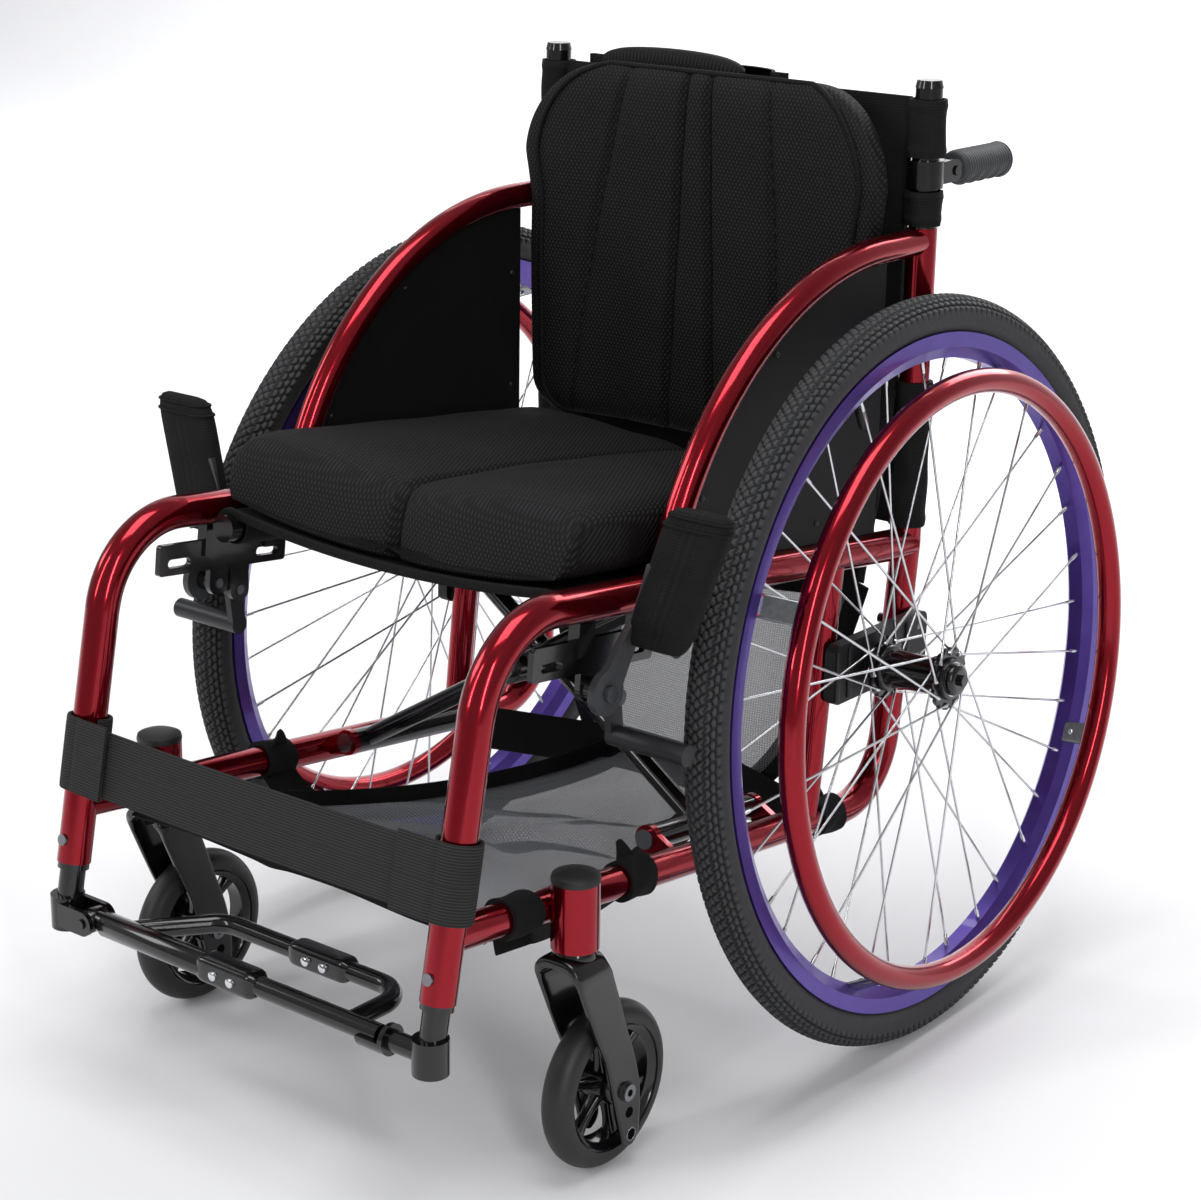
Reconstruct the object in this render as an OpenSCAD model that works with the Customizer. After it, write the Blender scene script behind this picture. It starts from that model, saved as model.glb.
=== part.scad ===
// Folding sports wheelchair with a scissor frame, cambered rear wheels and a flip-up footrest.
// Millimetres. The sitter's left is +X, the chair faces -Y, +Z is up and the floor is Z = 0.
// Lengths along Y in the driving sizes are measured from the rear axle.

/* [Side frame] */
// Half distance between the middles of the two side frames
frame_x = 190; // [180:1:205]
// Outer diameter of the post, rear tube and lower rail
tube_d = 25; // [22:0.5:28]
// Outer diameter of the leg and seat rail hoop
hoop_d = 26.5; // [25:0.5:30]
// Outer diameter of the mid tube and the fender tube
brace_d = 22; // [18:0.5:23]
// Wall of the post and hoop tubes
tube_wall = 1.4; // [1:0.1:2.5]
// Fall of the seat towards the back, in degrees
seat_slope = 6.4; // [2:0.1:9]
// How far the back post stands behind the rear axle
post_y = 78; // [70:1:95]
// Height of the seat rail at the back post
seat_h = 384; // [375:1:400]
// Height of the lower rail's middle over the rear axle
rail_z = 169.4; // [160:0.2:180]
// How far the hoop's front corner stands ahead of the brake plate's middle
corner_ahead = 90; // [80:1:110]
// Middle radius of the hoop's front bend
hoop_bend_r = 75; // [60:1:85]
// Middle radius of the bend between rear tube and lower rail
rear_bend_r = 60; // [45:1:70]
// Forward rake of the front leg, in degrees
leg_rake = 11.3; // [8:0.1:14]
// Height of the red leg's lower end
leg_end_z = 179; // [170:1:190]
// How far the mid tube stands ahead of the rear axle at the seat rail
mid_reach = 33; // [26:1:50]
// Distance of the fender tube below the top of the red post
fender_drop = 11; // [11:0.5:30]
// Middle radius of the fender tube's arc
fender_r = 290; // [282:1:300]
// How far the top of the fender arc stands behind the rear axle
fender_top_y = 20; // [10:1:30]
// Height of the top of the red post
post_top_z = 648; // [640:1:670]
// Thickness of the side guard panel
guard_t = 3; // [2:0.5:5]
// Distance of the guard's rear edge ahead of the back post's middle
guard_back = 52; // [46:1:58]

/* [Rear wheels] */
// Outer diameter of the rear tyre
wheel_d = 610; // [580:1:640]
// Width and height of the tyre's round section
tyre_w = 35; // [30:0.5:42]
// Wall of the tyre
tyre_wall = 4; // [3:0.25:6]
// Lean of the wheels, top inwards, in degrees
camber = 3.7; // [0:0.1:5]
// Half distance between the wheels' middles at hub height
wheel_x = 258; // [250:1:275]
// Width of the rim over its edges
rim_w = 26; // [22:0.5:28]
// Radial depth of the rim
rim_depth = 21; // [17:0.5:26]
// Number of spokes in a wheel
spoke_count = 36; // [20:4:40]
// Diameter of a spoke
spoke_d = 2; // [1.8:0.1:2.3]
// Diameter of the hub's barrel
hub_d = 34; // [32:0.5:38]
// Diameter of the hub's flanges
flange_d = 52; // [46:1:60]
// Distance between the hub's flanges
flange_gap = 58; // [50:1:62]
// Diameter of the quick release axle
axle_d = 12.7; // [12:0.1:15]
// Outer diameter of the hub bearings
bearing_d = 28; // [26:0.5:29]
// Width of one hub bearing
bearing_w = 8; // [6:0.5:10]
// Middle diameter of the hand rim
hand_rim_d = 480; // [460:1:500]
// Diameter of the hand rim's tube
hand_tube_d = 20; // [16:0.5:22]
// Distance from the wheel's middle plane to the hand rim's middle
hand_rim_out = 41; // [36:0.5:48]
// Number of tabs that hold the hand rim
tab_count = 4; // [3:1:6]
// Travel of the release button
button_travel = 4; // [2:0.5:6]

/* [Casters] */
// Diameter of the caster over its tyre
caster_d = 130; // [115:1:140]
// Width of the caster tyre
caster_w = 26; // [22:0.5:30]
// How far the caster's swivel axis stands behind the hoop's front corner
head_back = 64; // [56:1:76]
// Outer diameter of the head tube
head_d = 36; // [34:0.5:40]
// Length of the head tube
head_len = 51; // [48:1:60]
// Distance of the head tube's lower end below the lower rail's middle
head_drop = 24; // [20:0.5:32]
// Distance of the caster's axle behind the swivel axis
trail = 36; // [25:1:42]
// Diameter of the fork's stem
stem_d = 15; // [12:0.5:18]
// Thickness of a fork arm
fork_t = 4.5; // [3.5:0.5:6]
// Distance between the holes at the foot of a fork arm
fork_step = 19; // [16:0.5:20]
// Diameter of the caster's axle bolt
caster_bolt_d = 8; // [7:0.5:10]

/* [Brakes] */
// Length of the slotted mounting plate
brake_plate_l = 138; // [120:1:150]
// Height of the slotted mounting plate
brake_plate_h = 25; // [20:1:28]
// Distance from the seat rail's middle down to the plate's middle
brake_drop = 38; // [35:0.5:44]
// How far the plate's middle stands ahead of the rear tyre, along the rail
brake_ahead = 57; // [50:1:66]
// Diameter of the brake pivots
pivot_d = 8; // [6:0.5:10]
// Height of the padded lever cover
pad_h = 108; // [90:1:120]
// Width of the padded lever cover
pad_w = 57; // [48:1:62]
// Thickness of the padded lever cover
pad_t = 18; // [14:0.5:22]
// Diameter of the brake shoe's roller
shoe_d = 16; // [12:0.5:18]
// Length of the brake shoe's roller
shoe_l = 70; // [60:1:76]

/* [Footrest] */
// Height of the footrest bar's middle
foot_z = 141; // [138:1:150]
// Diameter of the telescoping foot tube
foot_tube_d = 20; // [16:0.5:22]
// Diameter and height of the round block at the foot tube's end
foot_block = 27; // [25:0.5:32]
// Diameter of the thick half of the footrest bar
bar_thick_d = 20; // [18:0.5:22]
// Diameter of the thin half of the bar and of the hoop
bar_thin_d = 16; // [12:0.5:17]
// Distance of the footrest hoop behind its bar
foot_hoop_back = 62; // [54:1:70]
// Distance of the footrest's hinge axis inboard of the leg's middle
foot_hinge_in = 30; // [28:0.5:36]
// Room for the bar's free end ahead of the left rest
foot_tip_room = 7; // [6.5:0.5:10]

/* [Cross brace] */
// Distance of the brace's hinge axes inboard of the side frames
hinge_in = 30; // [28:0.5:34]
// Height of the hinge axes over the lower rail's middle
hinge_rise = 11; // [9:0.5:14]
// Depth of the seat tubes below the seat rail's middle
seat_tube_drop = 10; // [8:0.5:14]
// Diameter of the seat tubes
seat_tube_d = 22; // [20:0.5:24]
// Diameter of the diagonal tubes
diagonal_d = 16; // [13:0.5:18]
// Diameter of the hinge tubes along the lower rails
hinge_tube_d = 20; // [18:0.5:22]
// Diameter of the hinge pins and of the cross bolt
pin_d = 10; // [8:0.5:12]
// Distance of the rear diagonal ahead of the rear axle, along the rail
arm_a_s = 166; // [150:1:172]
// Distance of the front diagonal ahead of the rear axle, along the rail
arm_b_s = 210; // [204:1:214]
// Distance of the rear hinge lug ahead of the rear axle, along the rail
lug_rear_s = 92; // [86:1:100]
// Distance of the front hinge lug ahead of the rear axle, along the rail
lug_front_s = 230; // [228:1:245]
// Reach of the seat tubes ahead of the rear axle, along the rail
seat_tube_front = 392; // [370:1:400]
// Reach of the seat tubes behind the rear axle, along the rail
seat_tube_back = 36; // [20:1:40]

/* [Seat] */
// Half width of the seat cushion
cushion_half = 174; // [150:1:175]
// Thickness of the seat cushion
cushion_t = 64; // [45:1:72]
// Reach of the seat cushion ahead of the rear axle, along the rail
cushion_front = 384; // [360:1:390]
// Reach of the seat cushion behind the rear axle, along the rail
cushion_back = 2; // [0:1:8]
// Depth that the seat sling sags in the middle
sling_sag = 11; // [8:1:30]
// Thickness of the seat sling
sling_t = 2.6; // [1.5:0.1:4]
// Depth of the seam channels in the cushions
channel_d = 9; // [4:0.5:12]

/* [Back] */
// Diameter of the sliding inner post
inner_post_d = 22; // [20:0.5:22]
// How far the inner post stands out of the red post, with its cap
post_out = 117; // [95:1:140]
// Half width of the back cushion
back_half = 178; // [165:1:178]
// How far the back cushion's sides curve forwards
back_wing = 20; // [14:1:30]
// Height of the back cushion's lower edge over the seat rail
back_rise = 82; // [82:1:100]
// Distance of the back cushion's upper edge below the inner post's top
back_cap = 8; // [7:1:40]
// Thickness of the back cushion
back_t = 42; // [30:1:48]
// Radius of the back cushion's upper corners
back_corner_r = 78; // [50:1:90]
// Height of the back sling's lower edge over the seat rail
sling_rise = 16; // [15:0.5:24]
// Distance of the back sling's upper edge below the inner post's top
sling_cap = 14; // [12:1:26]
// Thickness of the back sling's padded sheet
back_sling_t = 12; // [8:0.5:14]
// Width of the pouch on the back sling
pouch_w = 175; // [140:1:190]
// How far the pouch's middle stands to the sitter's right
pouch_shift = 58; // [0:1:65]
// Height of the pouch
pouch_h = 203; // [170:1:230]
// Depth of the pouch
pouch_depth = 24; // [15:1:32]
// Length of the sling's lower sleeves
low_sleeve_l = 122; // [90:1:150]
// Height of the push handles over the top of the red post
handle_rise = 43; // [38:1:52]
// Reach of the push handles behind the rear axle
handle_reach = 192; // [180:1:200]
// Diameter of the push handle grips
grip_d = 29; // [25:0.5:30]

/* [Strap and basket] */
// Width of the calf strap
strap_w = 52; // [40:1:60]
// Thickness of the calf strap
strap_t = 2.2; // [1.5:0.1:3]
// Height of the calf strap's middle
strap_z = 265; // [255:1:275]
// Thickness of the basket's cloth
basket_t = 1.8; // [1.2:0.1:3]
// Distance of the basket's front edge behind the front leg, along the rail
basket_short = 50; // [46:1:62]
// Distance of the basket's upper edge below the seat rail
basket_drop = 39; // [30:1:60]

/* [Hidden] */
$fn = 64;
left = 1;
right = -1;

// Clearances: a close seat, a running fit on a pin, a gap between moving faces, a cut that runs past a face
seat_gap = 0.3;
run_gap = 0.05;
move_gap = 1;
past = 1;

// Rail frame: n is square to the rails and up, s runs forward along them from above the rear axle
rise = tan(seat_slope);
function seat_z(y) = seat_h - (y - post_y) * rise;
function lower_z(y) = rail_z - y * rise;
rail_gap = (seat_z(0) - rail_z) * cos(seat_slope);
function on_rail(n, s) = [
    n * sin(seat_slope) - s * cos(seat_slope),
    lower_z(0) + n * cos(seat_slope) + s * sin(seat_slope)
];

// Reaches ahead of the rear axle, and heights of the back
brake_reach = wheel_d / 2 + brake_ahead;
corner_reach = brake_reach + corner_ahead;
head_reach = corner_reach - head_back;
head_z = lower_z(-head_reach) - head_drop;
fender_z = post_top_z - fender_drop;
handle_z = post_top_z + handle_rise;
back_top_z = post_top_z + post_out;
back_low_z = seat_h + back_rise;
back_high_z = back_top_z - back_cap;
back_sling_low = seat_h + sling_rise;
back_sling_high = back_top_z - sling_cap;
low_sleeve_top = back_sling_low + low_sleeve_l;
pouch_top = back_sling_high - 3;
pouch_low = pouch_top - pouch_h;
basket_top_z = seat_h - basket_drop;

// Side frame points as [y, z]
corner = [-corner_reach, seat_z(-corner_reach)];
leg_dir = [-sin(leg_rake), -cos(leg_rake)];
function on_leg(z) = corner + leg_dir * (corner[1] - z) / cos(leg_rake);
leg_end = on_leg(leg_end_z);
post_base = [post_y, seat_z(post_y)];
rear_corner = post_base - rail_gap * [sin(seat_slope), cos(seat_slope)];
mid_top = [-mid_reach, seat_z(-mid_reach)];
mid_foot = mid_top - rail_gap * [sin(seat_slope), cos(seat_slope)];
rail_joint_y = -(corner_reach + (corner[1] - lower_z(0)) * tan(leg_rake)) / (1 + rise * tan(leg_rake));
rail_joint = [rail_joint_y, lower_z(rail_joint_y)];
basket_front = -rail_joint_y - basket_short;
fender_mid = [fender_top_y, fender_z - fender_r];
fender_dip = (seat_z(fender_top_y) - fender_mid[1]) * cos(seat_slope);
fender_start = seat_slope + asin(fender_dip / fender_r);

// Places along the chair
foot = on_leg(foot_z);
foot_front = foot[0] - foot_block / 2;
axle_y = -(foot_front + wheel_d / 2) / 2;
tyre_mid_r = (wheel_d - tyre_w) / 2;
hub_z = tyre_mid_r * cos(camber) + tyre_w / 2;
head_weld = 3;
head_x = frame_x + tube_d / 2 + head_d / 2 - head_weld;

// Rear wheel
rim_r = tyre_mid_r - sqrt(pow(tyre_w / 2, 2) - pow(rim_w / 2, 2));
rim_inner_r = rim_r - rim_depth;
rim_wall = 2.5;
rim_well = 14;
bead_half = rim_w / 2 - rim_wall - 1;
bead_gap = 6;
hub_in = 41;
hub_out = 32;
flange_shift = -3;
flange_t = 3;
spoke_ring_d = flange_d - 8;
spoke_lap = 60;
spoke_side = flange_t / 2 + spoke_d / 2 - 0.3;
spoke_sink = 4;
axle_in = 76;
axle_head_t = 4;
axle_head_d = 24;
button_d = 9;
button_proud = 5;
tab_t = 3;
tab_w = 16;
tab_turn = 64;

// Axle plate
plate_t = 10;
plate_h = 50;
plate_gap = 0.25;
sleeve_d = 27;
sleeve_end = hub_in + 2;
screw_d = 5;
screw_head_d = 9;
screw_head_t = 3.5;

// Caster
caster_z = caster_d / 2;
caster_y = trail - head_reach;
caster_tread = 15;
fork_gap = caster_w + 8;
crown_t = 12;
crown_z = head_z - 2;
arm_top_w = 34;
arm_foot_w = 21;
arm_knee_w = 23;
arm_tip_w = 18;
crown_ahead = 4;
knee_ahead = 8;
knee_rise = 32;
fork_lean = 3;
head_wall = 2;
head_cap_t = 5;
hub_bush_d = 26;

// Brake, in the rail frame unless named otherwise
brake_n = rail_gap - brake_drop;
brake_plate_t = 5;
lever_ahead = 4;
lever_below = 12;
lever_pivot = on_rail(brake_n - brake_plate_h / 2 - lever_below, brake_reach + lever_ahead);
shoe_behind = 20;
shoe_below = 20;
shoe_pivot = on_rail(brake_n - brake_plate_h / 2 - shoe_below, brake_reach - shoe_behind);
shoe_bracket = 16;
block_rear = 52;
block_front = 14;
block_l = 18;
slot_reach = 48;
slot_l = 24;
slot_h = 7;
slot_down = 3;
lever_boss_d = 34;
lever_neck_d = 26;
lever_tip_d = 13;
lever_lap = 12;
paddle_t = 5;
lever_t = 6;
lever_x = frame_x + hoop_d / 2 + 2;
pad_rise = 28.3;
pad_low = lever_pivot[1] + pad_rise;
pad_lean = 16;
pad_tilt = 8;
pad_back = 30;
pad_y = lever_pivot[0] + pad_back;
pad_inner_x = lever_x - 4.5;
shoe_drop = 32;
shoe_room = 6.7;
shoe_z = shoe_pivot[1] - shoe_drop;
shoe_y = -sqrt(pow(wheel_d / 2 + shoe_d / 2 + shoe_room, 2) - pow(shoe_z - hub_z, 2));
shoe_arm_t = 6;
shoe_arm_x = frame_x + brake_plate_t / 2 + 0.5;

// Cross brace in the rail frame as [x, n]
hinge_x = frame_x - hinge_in;
hinge_at = [hinge_x, hinge_rise];
seat_at = [hinge_x, rail_gap - seat_tube_drop];
cross_at = [0, (hinge_at[1] + seat_at[1]) / 2];
lug_t = 6;
lug_d = 22;
eye_d = 28;
eye_l = 26;

// Seat cushion and sling
sling_ring_d = seat_tube_d + 2 * seat_gap + 2 * sling_t;
sling_edge_n = seat_at[1] + sling_ring_d / 2;
sling_r = (pow(hinge_x, 2) + pow(sling_sag, 2)) / (2 * sling_sag);
notch_room = 4;

// Back
strap_wall = 1.8;
back_sleeve_d = tube_d + 2 * seat_gap + 2 * strap_wall;
handle_pivot_y = post_y + back_sleeve_d / 2 + grip_d / 2 + 2;
post_screw_z = back_top_z - 24;
post_screw_d = screw_head_d - 1;
handle_clamp_h = 22;
handle_clamp_d = inner_post_d + 8;
sleeve_spans = [
    [back_sling_low, low_sleeve_top],
    [post_top_z + 2, handle_z - handle_clamp_h / 2 - 2],
    [handle_z + handle_clamp_h / 2 + 2, back_sling_high - 1]
];

// Places the children on one side of the chair, measured from the rear axle
module at_side(s) translate([0, axle_y, 0]) mirror([s < 0 ? 1 : 0, 0, 0]) children();

// Turns a drawing in the XY plane into the side plane: x becomes y, y becomes z
module in_side_plane() rotate([90, 0, 90]) children();

// Places the children in the rail frame: x stays, y is n, z is s
module in_rail_frame() translate([0, 0, lower_z(0)]) rotate([90 - seat_slope, 0, 0]) children();

// Places the children in the left wheel's frame, with its axle along z, outwards
module in_wheel() translate([wheel_x, 0, hub_z]) rotate([0, 90 - camber, 0]) children();

// Straight round bar between two points of the XY plane
module straight(p, q, d) {
    along = q - p;
    translate([p[0], p[1], 0])
        rotate([0, 90, atan2(along[1], along[0])])
            cylinder(d = d, h = norm(along));
}

// Round bar along points of the XY plane with the same middle radius at each bend.
// A bend is a hair thicker than the straights, which end just inside it, so that they join cleanly.
bend_step = 0.1;
bend_lap = 0.6;
function unit(v) = v / norm(v);
function turn_at(p, i) =
    let (u = unit(p[i] - p[i - 1]), w = unit(p[i + 1] - p[i]))
    atan2(u[0] * w[1] - u[1] * w[0], u * w);
function trim_at(p, i, r) = r * tan(abs(turn_at(p, i)) / 2);
function cut_at(p, i, r) = i == 0 || i == len(p) - 1 ? 0 : trim_at(p, i, r) - bend_lap;
module bent(p, r, d) {
    for (i = [0 : len(p) - 2]) {
        u = unit(p[i + 1] - p[i]);
        straight(p[i] + u * cut_at(p, i, r), p[i + 1] - u * cut_at(p, i + 1, r), d);
    }
    for (i = [1 : len(p) - 2]) {
        u = unit(p[i] - p[i - 1]);
        turn = turn_at(p, i);
        hand = turn > 0 ? 1 : -1;
        centre = p[i] - u * trim_at(p, i, r) + hand * r * [-u[1], u[0]];
        first = atan2(u[1], u[0]) - hand * 90;
        translate([centre[0], centre[1], 0])
            rotate([0, 0, hand > 0 ? first : first + turn])
                rotate_extrude(angle = abs(turn))
                    translate([r, 0])
                        circle(d = d + 2 * bend_step);
    }
}

// Bar along the x axis between two distances
module cross_bar(x0, x1, d) translate([x0, 0, 0]) rotate([0, 90, 0]) cylinder(d = d, h = x1 - x0);

// Plate with round corners
module round_plate(l, h, r) {
    square([l - 2 * r, h], center = true);
    square([l, h - 2 * r], center = true);
    for (x = [-1, 1], y = [-1, 1])
        translate([x * (l / 2 - r), y * (h / 2 - r)])
            circle(r = r);
}

// Closed loop of a rounded box section, one point each 360 / count degrees
function soft_loop(count, power) = [
    for (i = [0 : count - 1])
        let (c = cos(360 * i / count), s = sin(360 * i / count))
        [sign(c) * pow(abs(c), power), sign(s) * pow(abs(s), power)]
];

// Triangles of a skin over rings of points, closed at both ends
function skin_faces(rings, sides) = [
    for (j = [0 : rings - 2], i = [0 : sides - 1])
        let (a = j * sides + i, b = j * sides + (i + 1) % sides)
        each [[a, b, b + sides], [a, b + sides, a + sides]],
    for (i = [1 : sides - 2]) [0, i + 1, i],
    for (i = [1 : sides - 2]) let (k = (rings - 1) * sides) [k, k + i, k + i + 1]
];

// Outlines of the tubes in the side plane
module rear_run(d, top, stop) bent([[post_y, top], post_base, rear_corner, stop], rear_bend_r, d);
module hoop_run(d, start, stop) bent([start, corner, stop], hoop_bend_r, d);

module fender_tube() {
    translate([fender_mid[0], fender_mid[1], 0])
        rotate([0, 0, 90])
            rotate_extrude(angle = 90 - fender_start)
                translate([fender_r, 0])
                    circle(d = brace_d + 2 * bend_step);
    straight([fender_mid[0] - bend_lap, fender_z], [post_y, fender_z], brace_d);
}

module lug_outline() {
    translate([-hinge_in, hinge_rise])
        circle(d = lug_d);
    polygon([[0, -tube_d / 4], [0, tube_d / 4], [-hinge_in, hinge_rise + lug_d / 2 - 1],
        [-hinge_in, hinge_rise - lug_d / 2 + 1]]);
}

module side_frame() {
    color("#8f1420")
    difference() {
        union() {
            translate([frame_x, 0, 0]) in_side_plane() {
                rear_run(tube_d, post_top_z, rail_joint);
                hoop_run(hoop_d, leg_end, post_base);
                straight(mid_top, mid_foot, brace_d);
                fender_tube();
            }
            translate([head_x, -head_reach, head_z]) cylinder(d = head_d, h = head_len);
            for (s = [lug_rear_s, lug_front_s])
                translate([frame_x, 0, 0]) in_rail_frame()
                    translate([0, 0, s - lug_t / 2])
                        linear_extrude(lug_t)
                            lug_outline();
        }
        translate([frame_x, 0, 0]) in_side_plane() {
            rear_bore();
            hoop_bore();
        }
        translate([head_x, -head_reach, head_z - past])
            cylinder(d = head_d - 2 * head_wall, h = head_len + 2 * past);
        translate([frame_x, 0, 0]) in_rail_frame()
            for (s = [lug_rear_s, lug_front_s])
                translate([-hinge_in, hinge_rise, s - lug_t])
                    cylinder(d = pin_d, h = 2 * lug_t);
    }
}

// Bores of the tubes, each open at the end where a black tube slides in
module rear_bore() {
    d = tube_d - 2 * tube_wall;
    bore_end = rail_joint + unit(rear_corner - rail_joint) * (hoop_d / 2 + tube_wall);
    rear_run(d, post_top_z + past, bore_end);
}
module hoop_bore() {
    d = hoop_d - 2 * tube_wall;
    bore_end = post_base + unit(corner - post_base) * (tube_d / 2 + tube_wall);
    hoop_run(d, leg_end + leg_dir * past, bore_end);
}

module side_guard() {
    edge = post_y - guard_back;
    reach = fender_r - brace_d / 2 - seat_gap;
    color("#17181a")
    translate([frame_x - guard_t / 2, 0, 0]) in_side_plane()
        linear_extrude(guard_t)
            intersection() {
                union() {
                    translate(fender_mid) circle(r = reach);
                    translate([fender_top_y, fender_mid[1]])
                        square([max(past, edge - fender_top_y), reach]);
                }
                translate([edge, seat_z(edge)])
                    rotate(180 - seat_slope)
                        mirror([0, 1])
                            translate([0, hoop_d / 2 + seat_gap])
                                square([2 * fender_r, 2 * fender_r]);
                translate([edge - 2 * fender_r, 0])
                    square([2 * fender_r, fender_z]);
            }
}

module back_post() {
    cap_t = 6;
    insert = 95;
    color("#1b1c1e")
    translate([frame_x, post_y, 0]) {
        translate([0, 0, post_top_z - insert])
            difference() {
                cylinder(d = inner_post_d, h = back_top_z - cap_t - post_top_z + insert);
                translate([0, 0, -past])
                    cylinder(d = inner_post_d - 4, h = back_top_z - cap_t - post_top_z + insert + 2 * past);
            }
        translate([0, 0, back_top_z - cap_t])
            cylinder(d1 = inner_post_d + 1, d2 = inner_post_d - 2, h = cap_t);
    }
}

module axle_plate() {
    face_x = frame_x + max(tube_d, brace_d) / 2 + plate_gap;
    rear_y = post_y - (seat_z(post_y) - hub_z) * rise;
    front_y = mid_top[0] - (mid_top[1] - hub_z) * rise;
    plate_l = rear_y - front_y + tube_d;
    color("#202124")
    difference() {
        union() {
            translate([face_x, (rear_y + front_y) / 2, hub_z]) in_side_plane()
                linear_extrude(plate_t)
                    round_plate(plate_l, plate_h, 8);
            in_wheel() translate([0, 0, -axle_in]) cylinder(d = sleeve_d, h = axle_in - sleeve_end);
        }
        in_wheel()
            translate([0, 0, -axle_in - past])
                cylinder(d = axle_d + 2 * run_gap, h = axle_in + past);
        for (z = [-1, 1])
            translate([face_x - past, rear_y, hub_z + z * plate_h / 4])
                cross_bar(0, plate_t + 2 * past, screw_d);
    }
}

module axle_pin() {
    color("#c9ccd0")
    in_wheel() difference() {
        union() {
            translate([0, 0, -axle_in]) cylinder(d = axle_d, h = axle_in + hub_out + move_gap + past);
            translate([0, 0, hub_out + move_gap])
                cylinder(d1 = axle_head_d, d2 = axle_head_d - 4, h = axle_head_t);
        }
        translate([0, 0, hub_out + axle_head_t - 22])
            cylinder(d = button_d + 2 * run_gap, h = 22 + 2 * past);
    }
}

module axle_button() {
    color("#2a2b2e")
    in_wheel() translate([0, 0, hub_out + axle_head_t - 22 + button_travel + past])
        cylinder(d = button_d, h = 22 - button_travel + button_proud);
}

module tyre() {
    color("#1d1e20")
    in_wheel() rotate_extrude($fn = 128)
        difference() {
            translate([tyre_mid_r, 0]) circle(d = tyre_w);
            translate([tyre_mid_r, 0]) circle(d = tyre_w - 2 * tyre_wall);
            translate([rim_inner_r, bead_half]) square([rim_depth + seat_gap, tyre_w]);
            translate([rim_inner_r, -bead_half - tyre_w]) square([rim_depth + seat_gap, tyre_w]);
            translate([rim_inner_r, -bead_gap]) square([tyre_mid_r - rim_inner_r, 2 * bead_gap]);
        }
}

module rim() {
    well_r = rim_r - rim_well;
    half = rim_w / 2;
    color("#5b3f9c")
    in_wheel() rotate_extrude($fn = 128)
        polygon([[rim_r, half], [rim_r, half - rim_wall], [well_r, half - rim_wall - 0.5],
            [well_r, rim_wall + 0.5 - half], [rim_r, rim_wall - half], [rim_r, -half],
            [well_r + 2, 0.5 - half], [rim_inner_r, -half / 2], [rim_inner_r, half / 2],
            [well_r + 2, half - 0.5]]);
}

module spokes() {
    tip_r = rim_inner_r + spoke_sink;
    color("#d6d8dc")
    in_wheel()
        for (i = [0 : spoke_count - 1]) {
            side = i % 2 == 0 ? 1 : -1;
            lead = floor(i / 2) % 2 == 0 ? 1 : -1;
            tip_a = 360 * i / spoke_count;
            root_a = tip_a + lead * spoke_lap;
            root = [spoke_ring_d / 2 * cos(root_a), spoke_ring_d / 2 * sin(root_a),
                flange_shift + side * flange_gap / 2 + lead * spoke_side];
            tip = [tip_r * cos(tip_a), tip_r * sin(tip_a), side * 2];
            along = tip - root;
            translate(root)
                rotate([0, acos(along[2] / norm(along)), atan2(along[1], along[0])])
                    cylinder(d = spoke_d, h = norm(along), $fn = 16);
        }
}

module hub() {
    bore_r = axle_d / 2 + 2;
    color("#1a1b1d")
    in_wheel() difference() {
        union() {
            translate([0, 0, -hub_in]) cylinder(d = hub_d, h = hub_in + hub_out);
            for (side = [-1, 1])
                translate([0, 0, flange_shift + side * flange_gap / 2 - flange_t / 2])
                    cylinder(d = flange_d, h = flange_t);
        }
        translate([0, 0, -hub_in - past]) cylinder(r = bore_r, h = hub_in + hub_out + 2 * past);
        translate([0, 0, -hub_in - past]) cylinder(d = bearing_d, h = bearing_w + past);
        translate([0, 0, hub_out - bearing_w]) cylinder(d = bearing_d, h = bearing_w + past);
    }
}

module hub_bearings() {
    color("#aeb3b8")
    in_wheel()
        for (z = [-hub_in, hub_out - bearing_w])
            translate([0, 0, z]) difference() {
                cylinder(d = bearing_d, h = bearing_w);
                translate([0, 0, -past]) cylinder(d = axle_d + 2 * run_gap, h = bearing_w + 2 * past);
            }
}

module hand_rim() {
    tab_from = rim_inner_r + 3;
    tab_to = hand_rim_d / 2;
    tab_tilt = atan2(hand_rim_out - rim_w / 4, tab_from - tab_to);
    tab_l = norm([tab_from - tab_to, hand_rim_out - rim_w / 4]);
    color("#9c1a26")
    in_wheel() {
        translate([0, 0, hand_rim_out]) rotate_extrude($fn = 128)
            translate([hand_rim_d / 2, 0]) circle(d = hand_tube_d);
        for (i = [0 : tab_count - 1])
            rotate(tab_turn + 360 * i / tab_count)
                translate([tab_to, -tab_w / 2, hand_rim_out])
                    rotate([0, tab_tilt, 0])
                        translate([hand_tube_d / 4, 0, -tab_t / 2])
                            cube([tab_l - hand_tube_d / 4, tab_w, tab_t]);
    }
}

// Fork arm drawn in the side plane, measured from the swivel axis
module fork_arm_outline() {
    hull() {
        translate([-crown_ahead, crown_z - crown_t / 2]) square([arm_top_w, crown_t], center = true);
        translate([trail - knee_ahead, caster_z + knee_rise]) circle(d = arm_knee_w);
    }
    hull() {
        translate([trail - knee_ahead, caster_z + knee_rise]) circle(d = arm_knee_w);
        translate([trail, caster_z]) circle(d = arm_foot_w);
    }
    hull() {
        translate([trail, caster_z]) circle(d = arm_foot_w);
        translate([trail + 2 * fork_lean, caster_z - 2 * fork_step]) circle(d = arm_tip_w);
    }
}

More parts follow.
